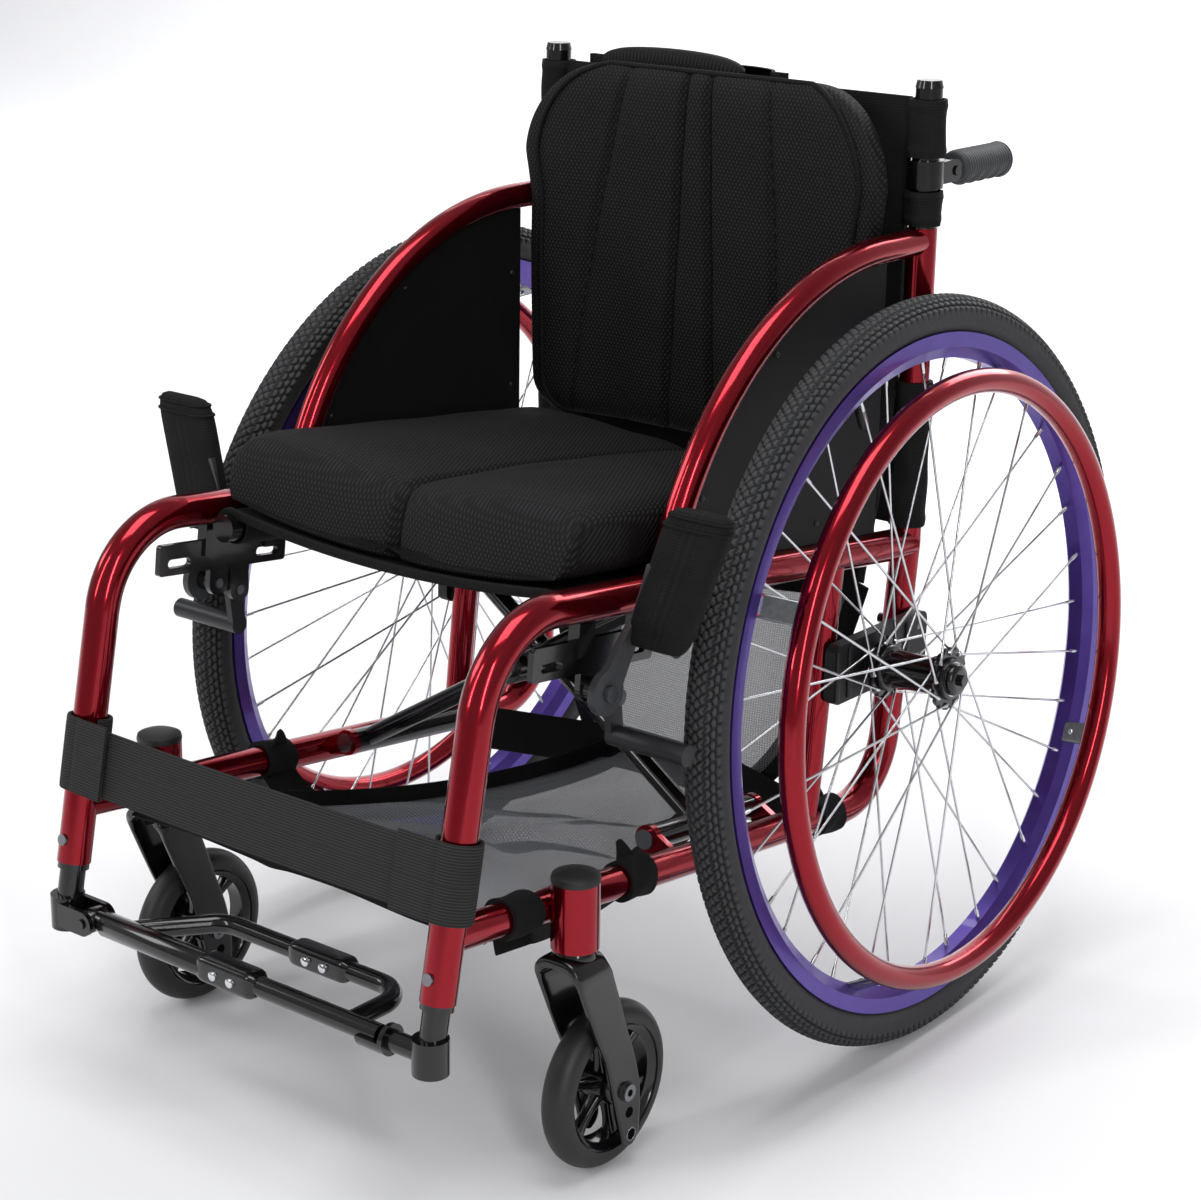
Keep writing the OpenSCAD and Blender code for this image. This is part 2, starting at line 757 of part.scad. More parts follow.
module caster_fork() {
    color("#2b2c2f")
    translate([head_x, -head_reach, 0]) difference() {
        union() {
            for (side = [0, 1]) mirror([side, 0, 0])
                translate([fork_gap / 2, 0, 0]) in_side_plane()
                    linear_extrude(fork_t)
                        fork_arm_outline();
            translate([-fork_gap / 2 - past, -crown_ahead - arm_top_w / 2, crown_z - crown_t])
                cube([fork_gap + 2 * past, arm_top_w, crown_t]);
            translate([0, 0, crown_z - past]) cylinder(d = stem_d, h = head_len + past);
        }
        for (k = [0 : 2])
            translate([-fork_gap, trail + fork_lean * k, caster_z - k * fork_step])
                cross_bar(0, 2 * fork_gap, caster_bolt_d + 2 * run_gap);
    }
}

module caster_wheel() {
    rim_out = caster_d / 2 - caster_tread;
    color("#1c1d1f")
    translate([head_x, caster_y, caster_z]) rotate([0, 90, 0]) difference() {
        union() {
            rotate_extrude()
                translate([rim_out - 8, -caster_w / 2 + 2]) square([8, caster_w - 4]);
            translate([0, 0, -fork_gap / 2 + 0.5]) cylinder(d = hub_bush_d, h = fork_gap - 1);
            for (i = [0 : 5])
                rotate(60 * i) translate([hub_bush_d / 4, -4, -5]) cube([rim_out - 4 - hub_bush_d / 4, 8, 10]);
        }
        translate([0, 0, -fork_gap]) cylinder(d = caster_bolt_d + 2 * run_gap, h = 2 * fork_gap);
    }
}

module caster_tyre() {
    inner = caster_d / 2 - caster_tread;
    color("#18191b")
    translate([head_x, caster_y, caster_z]) rotate([0, 90, 0]) rotate_extrude($fn = 96)
        intersection() {
            translate([caster_d / 2 - caster_w / 2, 0]) circle(d = caster_w);
            translate([inner, -caster_w]) square([caster_tread + past, 2 * caster_w]);
        }
}

module caster_bolt() {
    head_t = 4;
    reach = fork_gap / 2 + fork_t;
    color("#c3c6ca")
    translate([head_x, caster_y, caster_z]) {
        cross_bar(-reach - head_t, reach + head_t, caster_bolt_d);
        for (x = [-reach - head_t, reach])
            cross_bar_at(x, head_t, caster_bolt_d + 5);
    }
}
module cross_bar_at(x, l, d) cross_bar(x, x + l, d);

module headset() {
    bore_d = head_d - 2 * head_wall;
    race_h = 10;
    color("#141517")
    translate([head_x, -head_reach, 0]) {
        for (z = [head_z, head_z + head_len - race_h])
            translate([0, 0, z]) difference() {
                cylinder(d = bore_d - 2 * run_gap, h = race_h);
                translate([0, 0, -past]) cylinder(d = stem_d + 2 * run_gap, h = race_h + 2 * past);
            }
        translate([0, 0, head_z + head_len]) cylinder(d1 = head_d, d2 = head_d - 5, h = head_cap_t);
    }
}

// Slotted plate under the seat rail, its pivot bracket and the blocks that carry it
module brake_mount() {
    color("#18191b")
    difference() {
        union() {
            translate([frame_x - brake_plate_t / 2, 0, 0]) in_side_plane() linear_extrude(brake_plate_t) {
                brake_plate_outline();
                hull() {
                    translate(lever_pivot) circle(d = 2 * pivot_d + 4);
                    translate(on_rail(brake_n, brake_reach + lever_ahead)) circle(d = brake_plate_h - 4);
                }
                hull() {
                    translate(shoe_pivot) circle(d = 2 * pivot_d + 4);
                    translate(on_rail(brake_n, brake_reach - shoe_bracket)) circle(d = brake_plate_h - 4);
                }
            }
            for (s = [brake_reach - block_rear, brake_reach + block_front])
                translate([frame_x, 0, 0]) in_rail_frame()
                    translate([-brake_plate_t, brake_n, s - block_l / 2])
                        cube([2 * brake_plate_t, rail_gap - brake_n, block_l]);
            translate([0, lever_pivot[0], lever_pivot[1]])
                cross_bar(frame_x, lever_x - seat_gap, 2 * pivot_d);
        }
        translate([frame_x, 0, 0]) in_side_plane() {
            straight(corner, post_base, hoop_d + 2 * plate_gap);
            hoop_run(hoop_d + 2 * plate_gap, leg_end, post_base);
        }
        for (p = [lever_pivot, shoe_pivot])
            translate([0, p[0], p[1]]) cross_bar(frame_x - brake_plate_t, lever_x, pivot_d);
        for (s = [brake_reach - slot_reach, brake_reach + slot_reach])
            translate([frame_x - brake_plate_t, 0, 0]) in_side_plane() linear_extrude(2 * brake_plate_t)
                brake_slot(s);
    }
}
module brake_plate_outline() {
    p = on_rail(brake_n, brake_reach);
    translate(p) rotate(-seat_slope) round_plate(brake_plate_l, brake_plate_h, 3);
}
module brake_slot(s) {
    translate(on_rail(brake_n - slot_down, s)) rotate(-seat_slope) round_plate(slot_l, slot_h, slot_h / 2 - 0.1);
}

// Lever plate on the outside of the rail, bent outwards into a flat paddle
module brake_lever() {
    paddle_w = pad_w - lever_lap;
    color("#3a3b3f")
    difference() {
        union() {
            translate([lever_x, 0, 0]) in_side_plane() linear_extrude(lever_t) {
                translate(lever_pivot) circle(d = lever_boss_d);
                hull() {
                    translate(lever_pivot) circle(d = lever_neck_d);
                    translate([pad_y, pad_low + lever_lap]) circle(d = lever_tip_d);
                }
            }
            translate([lever_x + past, pad_y - paddle_t / 2, pad_low + lever_lap])
                rotate([0, atan(2 * pad_lean / pad_h), 0])
                    cube([paddle_w, paddle_t, pad_h / 2]);
        }
        translate([0, lever_pivot[0], lever_pivot[1]])
            cross_bar(lever_x - past, lever_x + lever_t + past, pivot_d + 2 * run_gap);
    }
}

// Padded cover over the paddle, leaning outwards towards its rounded top
module brake_pad() {
    sides = 20;
    rings = 9;
    loop = soft_loop(sides, 0.55);
    points = [
        for (j = [0 : rings - 1])
            let (
                v = j / (rings - 1),
                z = pad_low + pad_h * v,
                end = 1 - pow(abs(2 * v - 1), 6),
                half = pad_w / 2 * (0.80 + 0.20 * pow(end, 0.4)),
                thick = pad_t / 2 * (0.35 + 0.65 * pow(end, 0.5)),
                mid_x = pad_inner_x + pad_w / 2 + 2 * pad_lean * v,
                mid_y = pad_y + pad_tilt * v
            )
            each [for (q = loop) [mid_x + half * q[0], mid_y + thick * q[1], z]]
    ];
    color("#101113")
    polyhedron(points, skin_faces(rings, sides));
}

// Arm on its own pivot, with the roller that presses on the tyre
module brake_shoe() {
    axis = [shoe_y, shoe_z];
    roller_x = shoe_arm_x;
    color("#4a4b4f")
    difference() {
        union() {
            translate([shoe_arm_x, 0, 0]) in_side_plane() linear_extrude(shoe_arm_t) {
                translate(shoe_pivot) circle(d = 2 * pivot_d);
                straight_plate(shoe_pivot, axis, shoe_d - 2);
                translate(axis) circle(d = shoe_d);
            }
            translate([0, axis[0], axis[1]]) cross_bar(roller_x, roller_x + shoe_l, shoe_d);
        }
        translate([0, shoe_pivot[0], shoe_pivot[1]])
            cross_bar(shoe_arm_x - past, shoe_arm_x + shoe_arm_t + past, pivot_d + 2 * run_gap);
    }
}
module straight_plate(p, q, w) {
    along = q - p;
    translate(p) rotate(atan2(along[1], along[0])) translate([0, -w / 2]) square([norm(along), w]);
}

// Telescoping foot tube with its collar and end block
module foot_tube_body() {
    insert = 60;
    collar = 5;
    bush_d = hoop_d - 2 * tube_wall - 2 * run_gap;
    translate([frame_x, 0, 0]) in_side_plane() {
        straight(on_leg(leg_end_z + insert), on_leg(leg_end_z), bush_d);
        straight(on_leg(leg_end_z), on_leg(leg_end_z - collar), hoop_d - 2);
        straight(on_leg(leg_end_z - collar), foot, foot_tube_d);
    }
    translate([frame_x, foot[0], foot_z])
        cylinder(d = foot_block, h = foot_block, center = true);
}

// Left end block with the open rest for the footrest's free end
module foot_rest_tube() {
    rest_x = frame_x - foot_hinge_in - 10;
    rest_l = 22;
    rest_d = bar_thin_d + 8;
    color("#1c1d1f")
    union() {
        foot_tube_body();
        translate([0, foot[0], foot_z]) {
            cross_bar(rest_x, frame_x, bar_thin_d);
            difference() {
                cross_bar(rest_x - rest_l, rest_x + 4, rest_d);
                cross_bar(rest_x - rest_l - past, rest_x, bar_thin_d + 2 * seat_gap);
                translate([rest_x - rest_l - past, -rest_d, 0])
                    cube([rest_l + past, 2 * rest_d, rest_d]);
            }
        }
    }
}

// Right end block with the two ears and the pin of the footrest's hinge, drawn on the left
module foot_hinge_tube() {
    ear_t = 4;
    ear_d = 20;
    knuckle_l = 18;
    pin_x = frame_x - foot_hinge_in;
    color("#1c1d1f")
    union() {
        foot_tube_body();
        for (side = [-1, 1])
            translate([pin_x, foot[0] + side * (knuckle_l / 2 + seat_gap + ear_t / 2), foot_z])
                rotate([90, 0, 0])
                    linear_extrude(ear_t, center = true) {
                        circle(d = ear_d);
                        translate([0, -ear_d / 2]) square([foot_hinge_in, ear_d]);
                    }
        translate([pin_x, foot[0], foot_z])
            rotate([90, 0, 0])
                cylinder(d = pivot_d, h = knuckle_l + 2 * ear_t + 4, center = true);
    }
}

// Bar, hoop and clamps of the flip-up footrest, hinged at its right end
module footrest() {
    knuckle_l = 18;
    knuckle_d = 19;
    pin_x = -frame_x + foot_hinge_in;
    tip_x = frame_x - foot_hinge_in - 10 - foot_tip_room;
    hoop_left = tip_x - 32;
    hoop_start = pin_x + 34;
    clamp_l = 62;
    color("#1a1b1d")
    translate([0, foot[0], foot_z]) difference() {
        union() {
            translate([pin_x, 0, 0]) rotate([90, 0, 0])
                cylinder(d = knuckle_d, h = knuckle_l, center = true);
            cross_bar(pin_x + 4, 6, bar_thick_d - 4);
            cross_bar(pin_x + 14, 6, bar_thick_d);
            cross_bar(0, tip_x, bar_thin_d);
            bent([[hoop_start, 0], [hoop_start + 48, foot_hoop_back], [hoop_left, foot_hoop_back],
                [hoop_left, 0]], 26, bar_thin_d - 1);
            translate([-8, 0, 0]) clamp_block(clamp_l, bar_thick_d + 1);
            translate([26, foot_hoop_back, 0]) clamp_block(clamp_l, bar_thin_d + 3);
        }
        translate([pin_x, 0, 0]) rotate([90, 0, 0])
            cylinder(d = pivot_d + 2 * run_gap, h = 2 * knuckle_l, center = true);
    }
}
module clamp_block(l, h) cube([l, h, h], center = true);

module push_handle() {
    stem_w = 12;
    color("#202124")
    translate([frame_x, 0, handle_z]) difference() {
        union() {
            translate([0, post_y, -handle_clamp_h / 2]) cylinder(d = handle_clamp_d, h = handle_clamp_h);
            for (side = [-1, 1])
                translate([side * (stem_w / 2 + seat_gap + 2) - 2, post_y, -handle_clamp_h / 2 + 2])
                    cube([4, handle_pivot_y - post_y, handle_clamp_h - 4]);
            for (side = [-1, 1])
                translate([side * (stem_w / 2 + seat_gap + 2) - 2, handle_pivot_y, 0])
                    cross_bar(0, 4, handle_clamp_h - 4);
            translate([0, handle_pivot_y, 0]) cross_bar(-12, 12, pivot_d);
        }
        translate([0, post_y, -handle_clamp_h]) cylinder(d = inner_post_d + 2 * run_gap, h = 2 * handle_clamp_h);
    }
}

module push_grip() {
    stem_w = 12;
    grip_from = handle_pivot_y + 11;
    color("#3b3d40")
    translate([frame_x, 0, handle_z]) difference() {
        union() {
            translate([0, handle_pivot_y, 0]) cross_bar(-stem_w / 2, stem_w / 2, 16);
            translate([-stem_w / 2, handle_pivot_y, -7]) cube([stem_w, 14, 14]);
            translate([0, grip_from, 0]) rotate([-90, 0, 0]) cylinder(d = grip_d, h = handle_reach - grip_from);
        }
        translate([0, handle_pivot_y, 0]) cross_bar(-stem_w, stem_w, pivot_d + 2 * run_gap);
    }
}

// Screws, hinge pins and brake pivots of one side
module frame_screws() {
    rear_y = post_y - (seat_z(post_y) - hub_z) * rise;
    plate_out = frame_x + max(tube_d, brace_d) / 2 + plate_gap + plate_t;
    tube_in = frame_x - tube_d / 2;
    head_lap = 0.6;
    leg_screw = on_leg(leg_end_z + 18);
    color("#c9ccd0") {
        for (z = [-1, 1])
            translate([0, rear_y, hub_z + z * plate_h / 4]) {
                cross_bar(tube_in - screw_head_t, plate_out, screw_d);
                cross_bar(tube_in - screw_head_t, tube_in + head_lap, screw_head_d);
            }
        translate([frame_x, post_y + inner_post_d / 2 - past, post_screw_z])
            rotate([-90, 0, 0]) cylinder(d = post_screw_d, h = screw_head_t + past);
        translate([frame_x, leg_screw[0], leg_screw[1]])
            rotate([90 - leg_rake, 0, 0])
                translate([0, 0, hoop_d / 2 - past]) cylinder(d = screw_head_d, h = screw_head_t - 0.5);
        in_rail_frame()
            translate([hinge_x, hinge_rise, lug_rear_s - lug_t / 2 - screw_head_t]) {
                cylinder(d = pin_d, h = lug_front_s - lug_rear_s + lug_t + 2 * screw_head_t);
                cylinder(d = pin_d + 6, h = screw_head_t);
                translate([0, 0, lug_front_s - lug_rear_s + lug_t + screw_head_t])
                    cylinder(d = pin_d + 6, h = screw_head_t);
            }
        translate([0, lever_pivot[0], lever_pivot[1]]) {
            cross_bar(frame_x - brake_plate_t / 2 - past, lever_x + lever_t + seat_gap + past, pivot_d);
            cross_bar(lever_x + lever_t + seat_gap, lever_x + lever_t + seat_gap + screw_head_t, pivot_d + 5);
        }
        translate([0, shoe_pivot[0], shoe_pivot[1]]) {
            cross_bar(frame_x - brake_plate_t / 2 - past, shoe_arm_x + shoe_arm_t + seat_gap + past, pivot_d);
            cross_bar(shoe_arm_x + shoe_arm_t + seat_gap, lever_x - seat_gap, pivot_d + 4);
        }
    }
}

// Diagonal tube of a brace arm in the rail frame, from a hinge axis to the far seat tube
module arm_diagonal(s, hand) {
    from = [hand * hinge_at[0], hinge_at[1]];
    to = [-hand * seat_at[0], seat_at[1]];
    translate([0, 0, s]) straight(from, to, diagonal_d);
}
module arm_parts(s, hand) {
    hinge_from = lug_rear_s + lug_t / 2 + seat_gap;
    hinge_l = lug_front_s - lug_rear_s - lug_t - 2 * seat_gap;
    translate([hand * hinge_at[0], hinge_at[1], hinge_from]) cylinder(d = hinge_tube_d, h = hinge_l);
    arm_diagonal(s, hand);
    translate([-hand * seat_at[0], seat_at[1], -seat_tube_back])
        cylinder(d = seat_tube_d, h = seat_tube_front + seat_tube_back);
    translate([cross_at[0], cross_at[1], s - eye_l / 2]) cylinder(d = eye_d, h = eye_l);
}
module cross_arm(s, hand, eye_bore) {
    color("#161719")
    translate([0, axle_y, 0]) in_rail_frame() difference() {
        arm_parts(s, hand);
        translate([hand * hinge_at[0], hinge_at[1], 0]) cylinder(d = pin_d + 2 * run_gap, h = seat_tube_front);
        translate([cross_at[0], cross_at[1], s - eye_l]) cylinder(d = eye_bore, h = 2 * eye_l);
    }
}
module cross_arm_a() cross_arm(arm_a_s, left, pin_d);
module cross_arm_b() cross_arm(arm_b_s, right, pin_d + 2 * run_gap);

module cross_bolt() {
    head_t = 5;
    from = arm_a_s - eye_l / 2 - head_t;
    to = arm_b_s + eye_l / 2 + head_t + seat_gap;
    spacer_from = arm_a_s + eye_l / 2;
    spacer_l = arm_b_s - arm_a_s - eye_l - seat_gap;
    color("#9fa3a8")
    translate([0, axle_y, 0]) in_rail_frame() translate([cross_at[0], cross_at[1], 0]) {
        translate([0, 0, from]) cylinder(d = pin_d, h = to - from);
        translate([0, 0, from]) cylinder(d = pin_d + 8, h = head_t);
        translate([0, 0, to - head_t]) cylinder(d = pin_d + 8, h = head_t);
        translate([0, 0, spacer_from]) cylinder(d = pin_d + 8, h = spacer_l);
    }
}

// Seat sling: sleeves round both seat tubes and a sheet that sags between them
module seat_sling() {
    sheet_mid = [0, sling_edge_n - sling_t - sling_sag + sling_r];
    color("#131416")
    translate([0, axle_y, 0]) in_rail_frame() translate([0, 0, -cushion_back]) difference() {
        linear_extrude(cushion_front + cushion_back)
            difference() {
                union() {
                    for (x = [-1, 1])
                        translate([x * hinge_x, seat_at[1]]) circle(d = sling_ring_d);
                    intersection() {
                        difference() {
                            translate(sheet_mid) circle(r = sling_r, $fn = 128);
                            translate(sheet_mid) circle(r = sling_r - sling_t, $fn = 128);
                        }
                        translate([-hinge_x, sling_edge_n - 2 * sling_sag])
                            square([2 * hinge_x, 2 * sling_sag]);
                    }
                }
                for (x = [-1, 1])
                    translate([x * hinge_x, seat_at[1]]) circle(d = seat_tube_d + 2 * seat_gap);
            }
        for (arm = [[-1, arm_a_s], [1, arm_b_s]])
            translate([arm[0] * hinge_x, seat_at[1] - sling_ring_d / 2, arm[1] + cushion_back])
                cube([2 * sling_ring_d, sling_ring_d + 4 * sling_t, diagonal_d + 2 * notch_room], center = true);
    }
}

// Seat cushion: two crowned lobes with a channel between them, resting in the sling
module seat_cushion() {
    sides = 44;
    rings = 23;
    loop = soft_loop(sides, 0.42);
    length = cushion_front + cushion_back;
    crown = 7;
    channel_w = 12;
    function rest_n(x) = sling_edge_n + seat_gap
        - (abs(x) < hinge_x ? sling_sag * (1 - pow(x / hinge_x, 2)) : 0);
    function row(x) = exp(-pow(x / channel_w, 2));
    points = [
        for (j = [0 : rings - 1])
            let (
                u = -cos(180 * j / (rings - 1)),
                end = pow(1 - pow(abs(u), 8), 0.3),
                half = cushion_half * (0.95 + 0.05 * end),
                s = -cushion_back + length * (u + 1) / 2
            )
            each [
                for (q = loop)
                    let (
                        x = half * q[0],
                        lift = max(0, q[1]),
                        top = crown * (1 - q[0] * q[0]) * (1 - u * u) - channel_d * row(x),
                        tuck = u > 0.9 ? channel_d * row(x) * (u - 0.9) / 0.1 : 0
                    )
                    [x, rest_n(x) + cushion_t / 2 * (1 + q[1] * (0.45 + 0.55 * end)) + lift * top, s - tuck]
            ]
    ];
    color("#121315")
    translate([0, axle_y, 0]) in_rail_frame() polyhedron(points, skin_faces(rings, sides));
}

// Back sling: a padded sheet between the posts, sleeves round them and a pouch sewn on behind
module back_sling() {
    inner = frame_x - back_sleeve_d / 2 + 2;
    pouch_y = post_y + back_sling_t / 2;
    color("#111214")
    translate([0, axle_y, 0]) difference() {
        union() {
            translate([-inner, post_y - back_sling_t / 2, back_sling_low])
                cube([2 * inner, back_sling_t, back_sling_high - back_sling_low]);
            for (x = [-1, 1], span = sleeve_spans)
                translate([x * frame_x, post_y, span[0]])
                    cylinder(d = back_sleeve_d, h = span[1] - span[0]);
            translate([-pouch_shift, pouch_y - past, (pouch_low + pouch_top) / 2])
                rotate([-90, 0, 0])
                    linear_extrude(pouch_depth + past)
                        round_plate(pouch_w, pouch_top - pouch_low, 34);
        }
        for (x = [-1, 1])
            translate([x * frame_x, post_y, back_sling_low - past])
                cylinder(d = tube_d + 2 * seat_gap, h = back_sling_high - back_sling_low + 2 * past);
        for (x = [-1, 1])
            translate([x * frame_x, post_y, handle_z - handle_clamp_h / 2 - past])
                cylinder(d = handle_clamp_d + 2 * seat_gap, h = handle_clamp_h + 2 * past);
        for (x = [-1, 1])
            translate([x * frame_x, post_y, post_screw_z])
                rotate([-90, 0, 0]) cylinder(d = post_screw_d + 2 * seat_gap, h = back_sleeve_d);
    }
}

// Back cushion: crowned pad with rounded upper corners and four upright seams in its face
module back_cushion() {
    sides = 40;
    rings = 21;
    loop = soft_loop(sides, 0.45);
    height = back_high_z - back_low_z;
    mid_y = post_y - back_sling_t / 2 - seat_gap - back_t / 2;
    seam_in = 26;
    seam_out = 88;
    seam_w = 9;
    flat_half = 70;
    function wing(x) = back_wing * pow(max(0, abs(x) - flat_half) / (back_half - flat_half), 1.7);
    function near(x, at) = exp(-pow((x - at) / seam_w, 2));
    function corner_in(z) = z < back_high_z - back_corner_r ? 0
        : back_corner_r - sqrt(max(0, pow(back_corner_r, 2) - pow(z - back_high_z + back_corner_r, 2)));
    points = [
        for (j = [0 : rings - 1])
            let (
                u = -cos(180 * j / (rings - 1)),
                end = pow(1 - pow(abs(u), 8), 0.35),
                z = back_low_z + height * (u + 1) / 2,
                half = (back_half - corner_in(z)) * (u < 0 ? 0.95 + 0.05 * end : 1),
                bow = seam_out - 14 * (1 - u * u)
            )
            each [
                for (q = loop)
                    let (
                        x = half * q[0],
                        face = max(0, -q[1]),
                        seam = near(x, seam_in) + near(x, -seam_in) + near(x, bow) + near(x, -bow)
                    )
                    [x, mid_y + back_t / 2 * q[1] * (0.4 + 0.6 * end)
                        + face * channel_d / 2 * min(1, seam) - wing(x), z]
            ]
    ];
    color("#121315")
    translate([0, axle_y, 0]) polyhedron(points, skin_faces(rings, sides));
}

// Calf strap: a loop round each leg and a band across their fronts
module calf_strap() {
    at = on_leg(strap_z);
    loop_d = hoop_d + 2 * seat_gap + 2 * strap_t;
    color("#26272a")
    translate([0, axle_y, 0]) translate([0, at[0], at[1]]) rotate([-leg_rake, 0, 0]) difference() {
        union() {
            for (x = [-1, 1])
                translate([x * frame_x, 0, -strap_w / 2]) cylinder(d = loop_d, h = strap_w);
            translate([-frame_x, -loop_d / 2, -strap_w / 2]) cube([2 * frame_x, strap_t, strap_w]);
        }
        for (x = [-1, 1])
            translate([x * frame_x, 0, -strap_w]) cylinder(d = hoop_d + 2 * seat_gap, h = 2 * strap_w);
    }
}

// Mesh basket: a floor slung under the lower rails by loops, with a raised back wall
module basket() {
    loop_w = 34;
    loop_d = tube_d + 2 * seat_gap + 2 * basket_t;
    floor_n = -loop_d / 2;
    floor_back = 20;
    bend_from = rear_bend_r * tan(45) - rear_corner[0] / cos(seat_slope);
    wall_half = frame_x - tube_d;
    wall_foot = on_rail(floor_n, -floor_back + 4);
    wall_top = [rear_corner[0] - tube_d / 2, basket_top_z];
    wall_dir = unit(wall_top - wall_foot);
    wall_side = [wall_dir[1], -wall_dir[0]] * basket_t;
    color("#55585c")
    translate([0, axle_y, 0]) difference() {
        union() {
            in_rail_frame() {
                translate([-frame_x, floor_n, -floor_back])
                    cube([2 * frame_x, basket_t, basket_front + floor_back]);
                for (x = [-1, 1], s = [bend_from + loop_w / 8, basket_front - loop_w])
                    translate([x * frame_x, 0, s]) cylinder(d = loop_d, h = loop_w);
            }
            translate([-wall_half, 0, 0]) in_side_plane() linear_extrude(2 * wall_half)
                polygon([wall_foot, wall_top, wall_top - wall_side, wall_foot - wall_side]);
        }
        in_rail_frame()
            for (x = [-1, 1])
                translate([x * frame_x, 0, -floor_back - past])
                    cylinder(d = tube_d + 2 * seat_gap, h = basket_front + floor_back + 2 * past);
        for (x = [-1, 1])
            translate([x * frame_x, 0, 0]) in_side_plane() straight(mid_top, mid_foot, brace_d + 2 * seat_gap);
    }
}

at_side(left) side_frame();  // left_side_frame
at_side(left) side_guard();  // left_side_guard
at_side(left) back_post();  // left_back_post
at_side(left) axle_plate();  // left_axle_plate
at_side(left) axle_pin();  // left_axle_pin
at_side(left) axle_button();  // left_axle_button
at_side(left) brake_mount();  // left_brake_mount
at_side(left) brake_lever();  // left_brake_lever
at_side(left) brake_pad();  // left_brake_pad
at_side(left) brake_shoe();  // left_brake_shoe
at_side(left) foot_rest_tube();  // left_foot_rest_tube
at_side(left) headset();  // left_headset
at_side(left) push_handle();  // left_push_handle
at_side(left) push_grip();  // left_push_grip
at_side(left) tyre();  // left_tyre
at_side(left) rim();  // left_rim
at_side(left) spokes();  // left_spokes
at_side(left) hub();  // left_hub
at_side(left) hub_bearings();  // left_hub_bearings
at_side(left) hand_rim();  // left_hand_rim
at_side(left) caster_fork();  // left_caster_fork
at_side(left) caster_wheel();  // left_caster_wheel
at_side(left) caster_tyre();  // left_caster_tyre
at_side(left) caster_bolt();  // left_caster_bolt
at_side(left) frame_screws();  // left_frame_screws
at_side(right) side_frame();  // right_side_frame
at_side(right) side_guard();  // right_side_guard
at_side(right) back_post();  // right_back_post
at_side(right) axle_plate();  // right_axle_plate
at_side(right) axle_pin();  // right_axle_pin
at_side(right) axle_button();  // right_axle_button
at_side(right) brake_mount();  // right_brake_mount
at_side(right) brake_lever();  // right_brake_lever
at_side(right) brake_pad();  // right_brake_pad
at_side(right) brake_shoe();  // right_brake_shoe
at_side(right) foot_hinge_tube();  // right_foot_hinge_tube
at_side(right) headset();  // right_headset
at_side(right) push_handle();  // right_push_handle
at_side(right) push_grip();  // right_push_grip
at_side(right) tyre();  // right_tyre
at_side(right) rim();  // right_rim
at_side(right) spokes();  // right_spokes
at_side(right) hub();  // right_hub
at_side(right) hub_bearings();  // right_hub_bearings
at_side(right) hand_rim();  // right_hand_rim
at_side(right) caster_fork();  // right_caster_fork
at_side(right) caster_wheel();  // right_caster_wheel
at_side(right) caster_tyre();  // right_caster_tyre
at_side(right) caster_bolt();  // right_caster_bolt
at_side(right) frame_screws();  // right_frame_screws
cross_arm_a();
cross_arm_b();
cross_bolt();
seat_sling();
seat_cushion();
back_sling();
back_cushion();
calf_strap();
translate([0, axle_y, 0]) footrest();
basket();
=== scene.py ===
# %% [markdown]
# # A folding sports wheelchair
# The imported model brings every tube, wheel and hinge at its true place. This script dresses it:
# hard pieces get a finish, and each soft or finely shaped piece is worked out as a surface.
# Lengths in the code are millimetres measured from the rear axle, and `place` turns them into metres.

# %% Load the frame
import math

import bpy
import numpy as np
from mathutils import Matrix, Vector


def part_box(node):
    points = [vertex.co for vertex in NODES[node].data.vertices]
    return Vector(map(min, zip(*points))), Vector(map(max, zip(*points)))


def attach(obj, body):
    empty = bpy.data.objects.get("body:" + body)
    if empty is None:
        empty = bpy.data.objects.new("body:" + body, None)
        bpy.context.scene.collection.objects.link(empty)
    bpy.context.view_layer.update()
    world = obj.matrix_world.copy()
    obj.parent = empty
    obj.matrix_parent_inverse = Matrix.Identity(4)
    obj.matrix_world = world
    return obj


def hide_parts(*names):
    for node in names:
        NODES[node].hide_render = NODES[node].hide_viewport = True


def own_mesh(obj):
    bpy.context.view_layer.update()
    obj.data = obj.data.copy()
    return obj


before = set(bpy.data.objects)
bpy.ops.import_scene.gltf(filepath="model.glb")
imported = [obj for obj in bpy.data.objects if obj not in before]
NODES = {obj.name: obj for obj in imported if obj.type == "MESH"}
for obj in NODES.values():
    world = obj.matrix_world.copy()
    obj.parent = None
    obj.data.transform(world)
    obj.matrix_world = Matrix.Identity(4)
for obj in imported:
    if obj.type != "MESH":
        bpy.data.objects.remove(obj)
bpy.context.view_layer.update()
hub_low, hub_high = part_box("left_hub")
MM = 0.001
AXLE_Y = 0.5 * (hub_low.y + hub_high.y) / MM
SIDES = (("left", 1), ("right", -1))
print("nodes", len(NODES), "axle at y", round(AXLE_Y, 2), "mm")

# %% [markdown]
# ## Surfaces from numbers
# Almost every piece here is a grid of points: one parameter runs along it, the other around it.
# The grid is computed as a whole array, then joined into quads. A closed direction wraps round to its
# start, and a cap closes the two end rows with a fan. The same few helpers serve a tyre and a cushion.

# %% Grid helpers
def place(points):
    """Millimetres from the rear axle to metres in the chair's frame."""
    return (np.asarray(points, float) + [0, AXLE_Y, 0]) * MM


def xyz(*coordinates):
    """Points from their coordinates, each an array or one number for all of them."""
    return np.stack(np.broadcast_arrays(*coordinates), -1)


def turns(count):
    """Even angles round one full turn, in radians."""
    return np.arange(count) * 2 * math.pi / count


def squared(wave, power):
    """A cosine or sine pushed outwards by a power below one, its sign kept."""
    return np.sign(wave) * np.abs(wave) ** power


def flat_uv(across, along, rows, columns):
    """A cloth's own coordinates in metres, from its size in millimetres."""
    return xyz(np.linspace(0, across, columns), np.linspace(0, along, rows)[:, None]) * MM


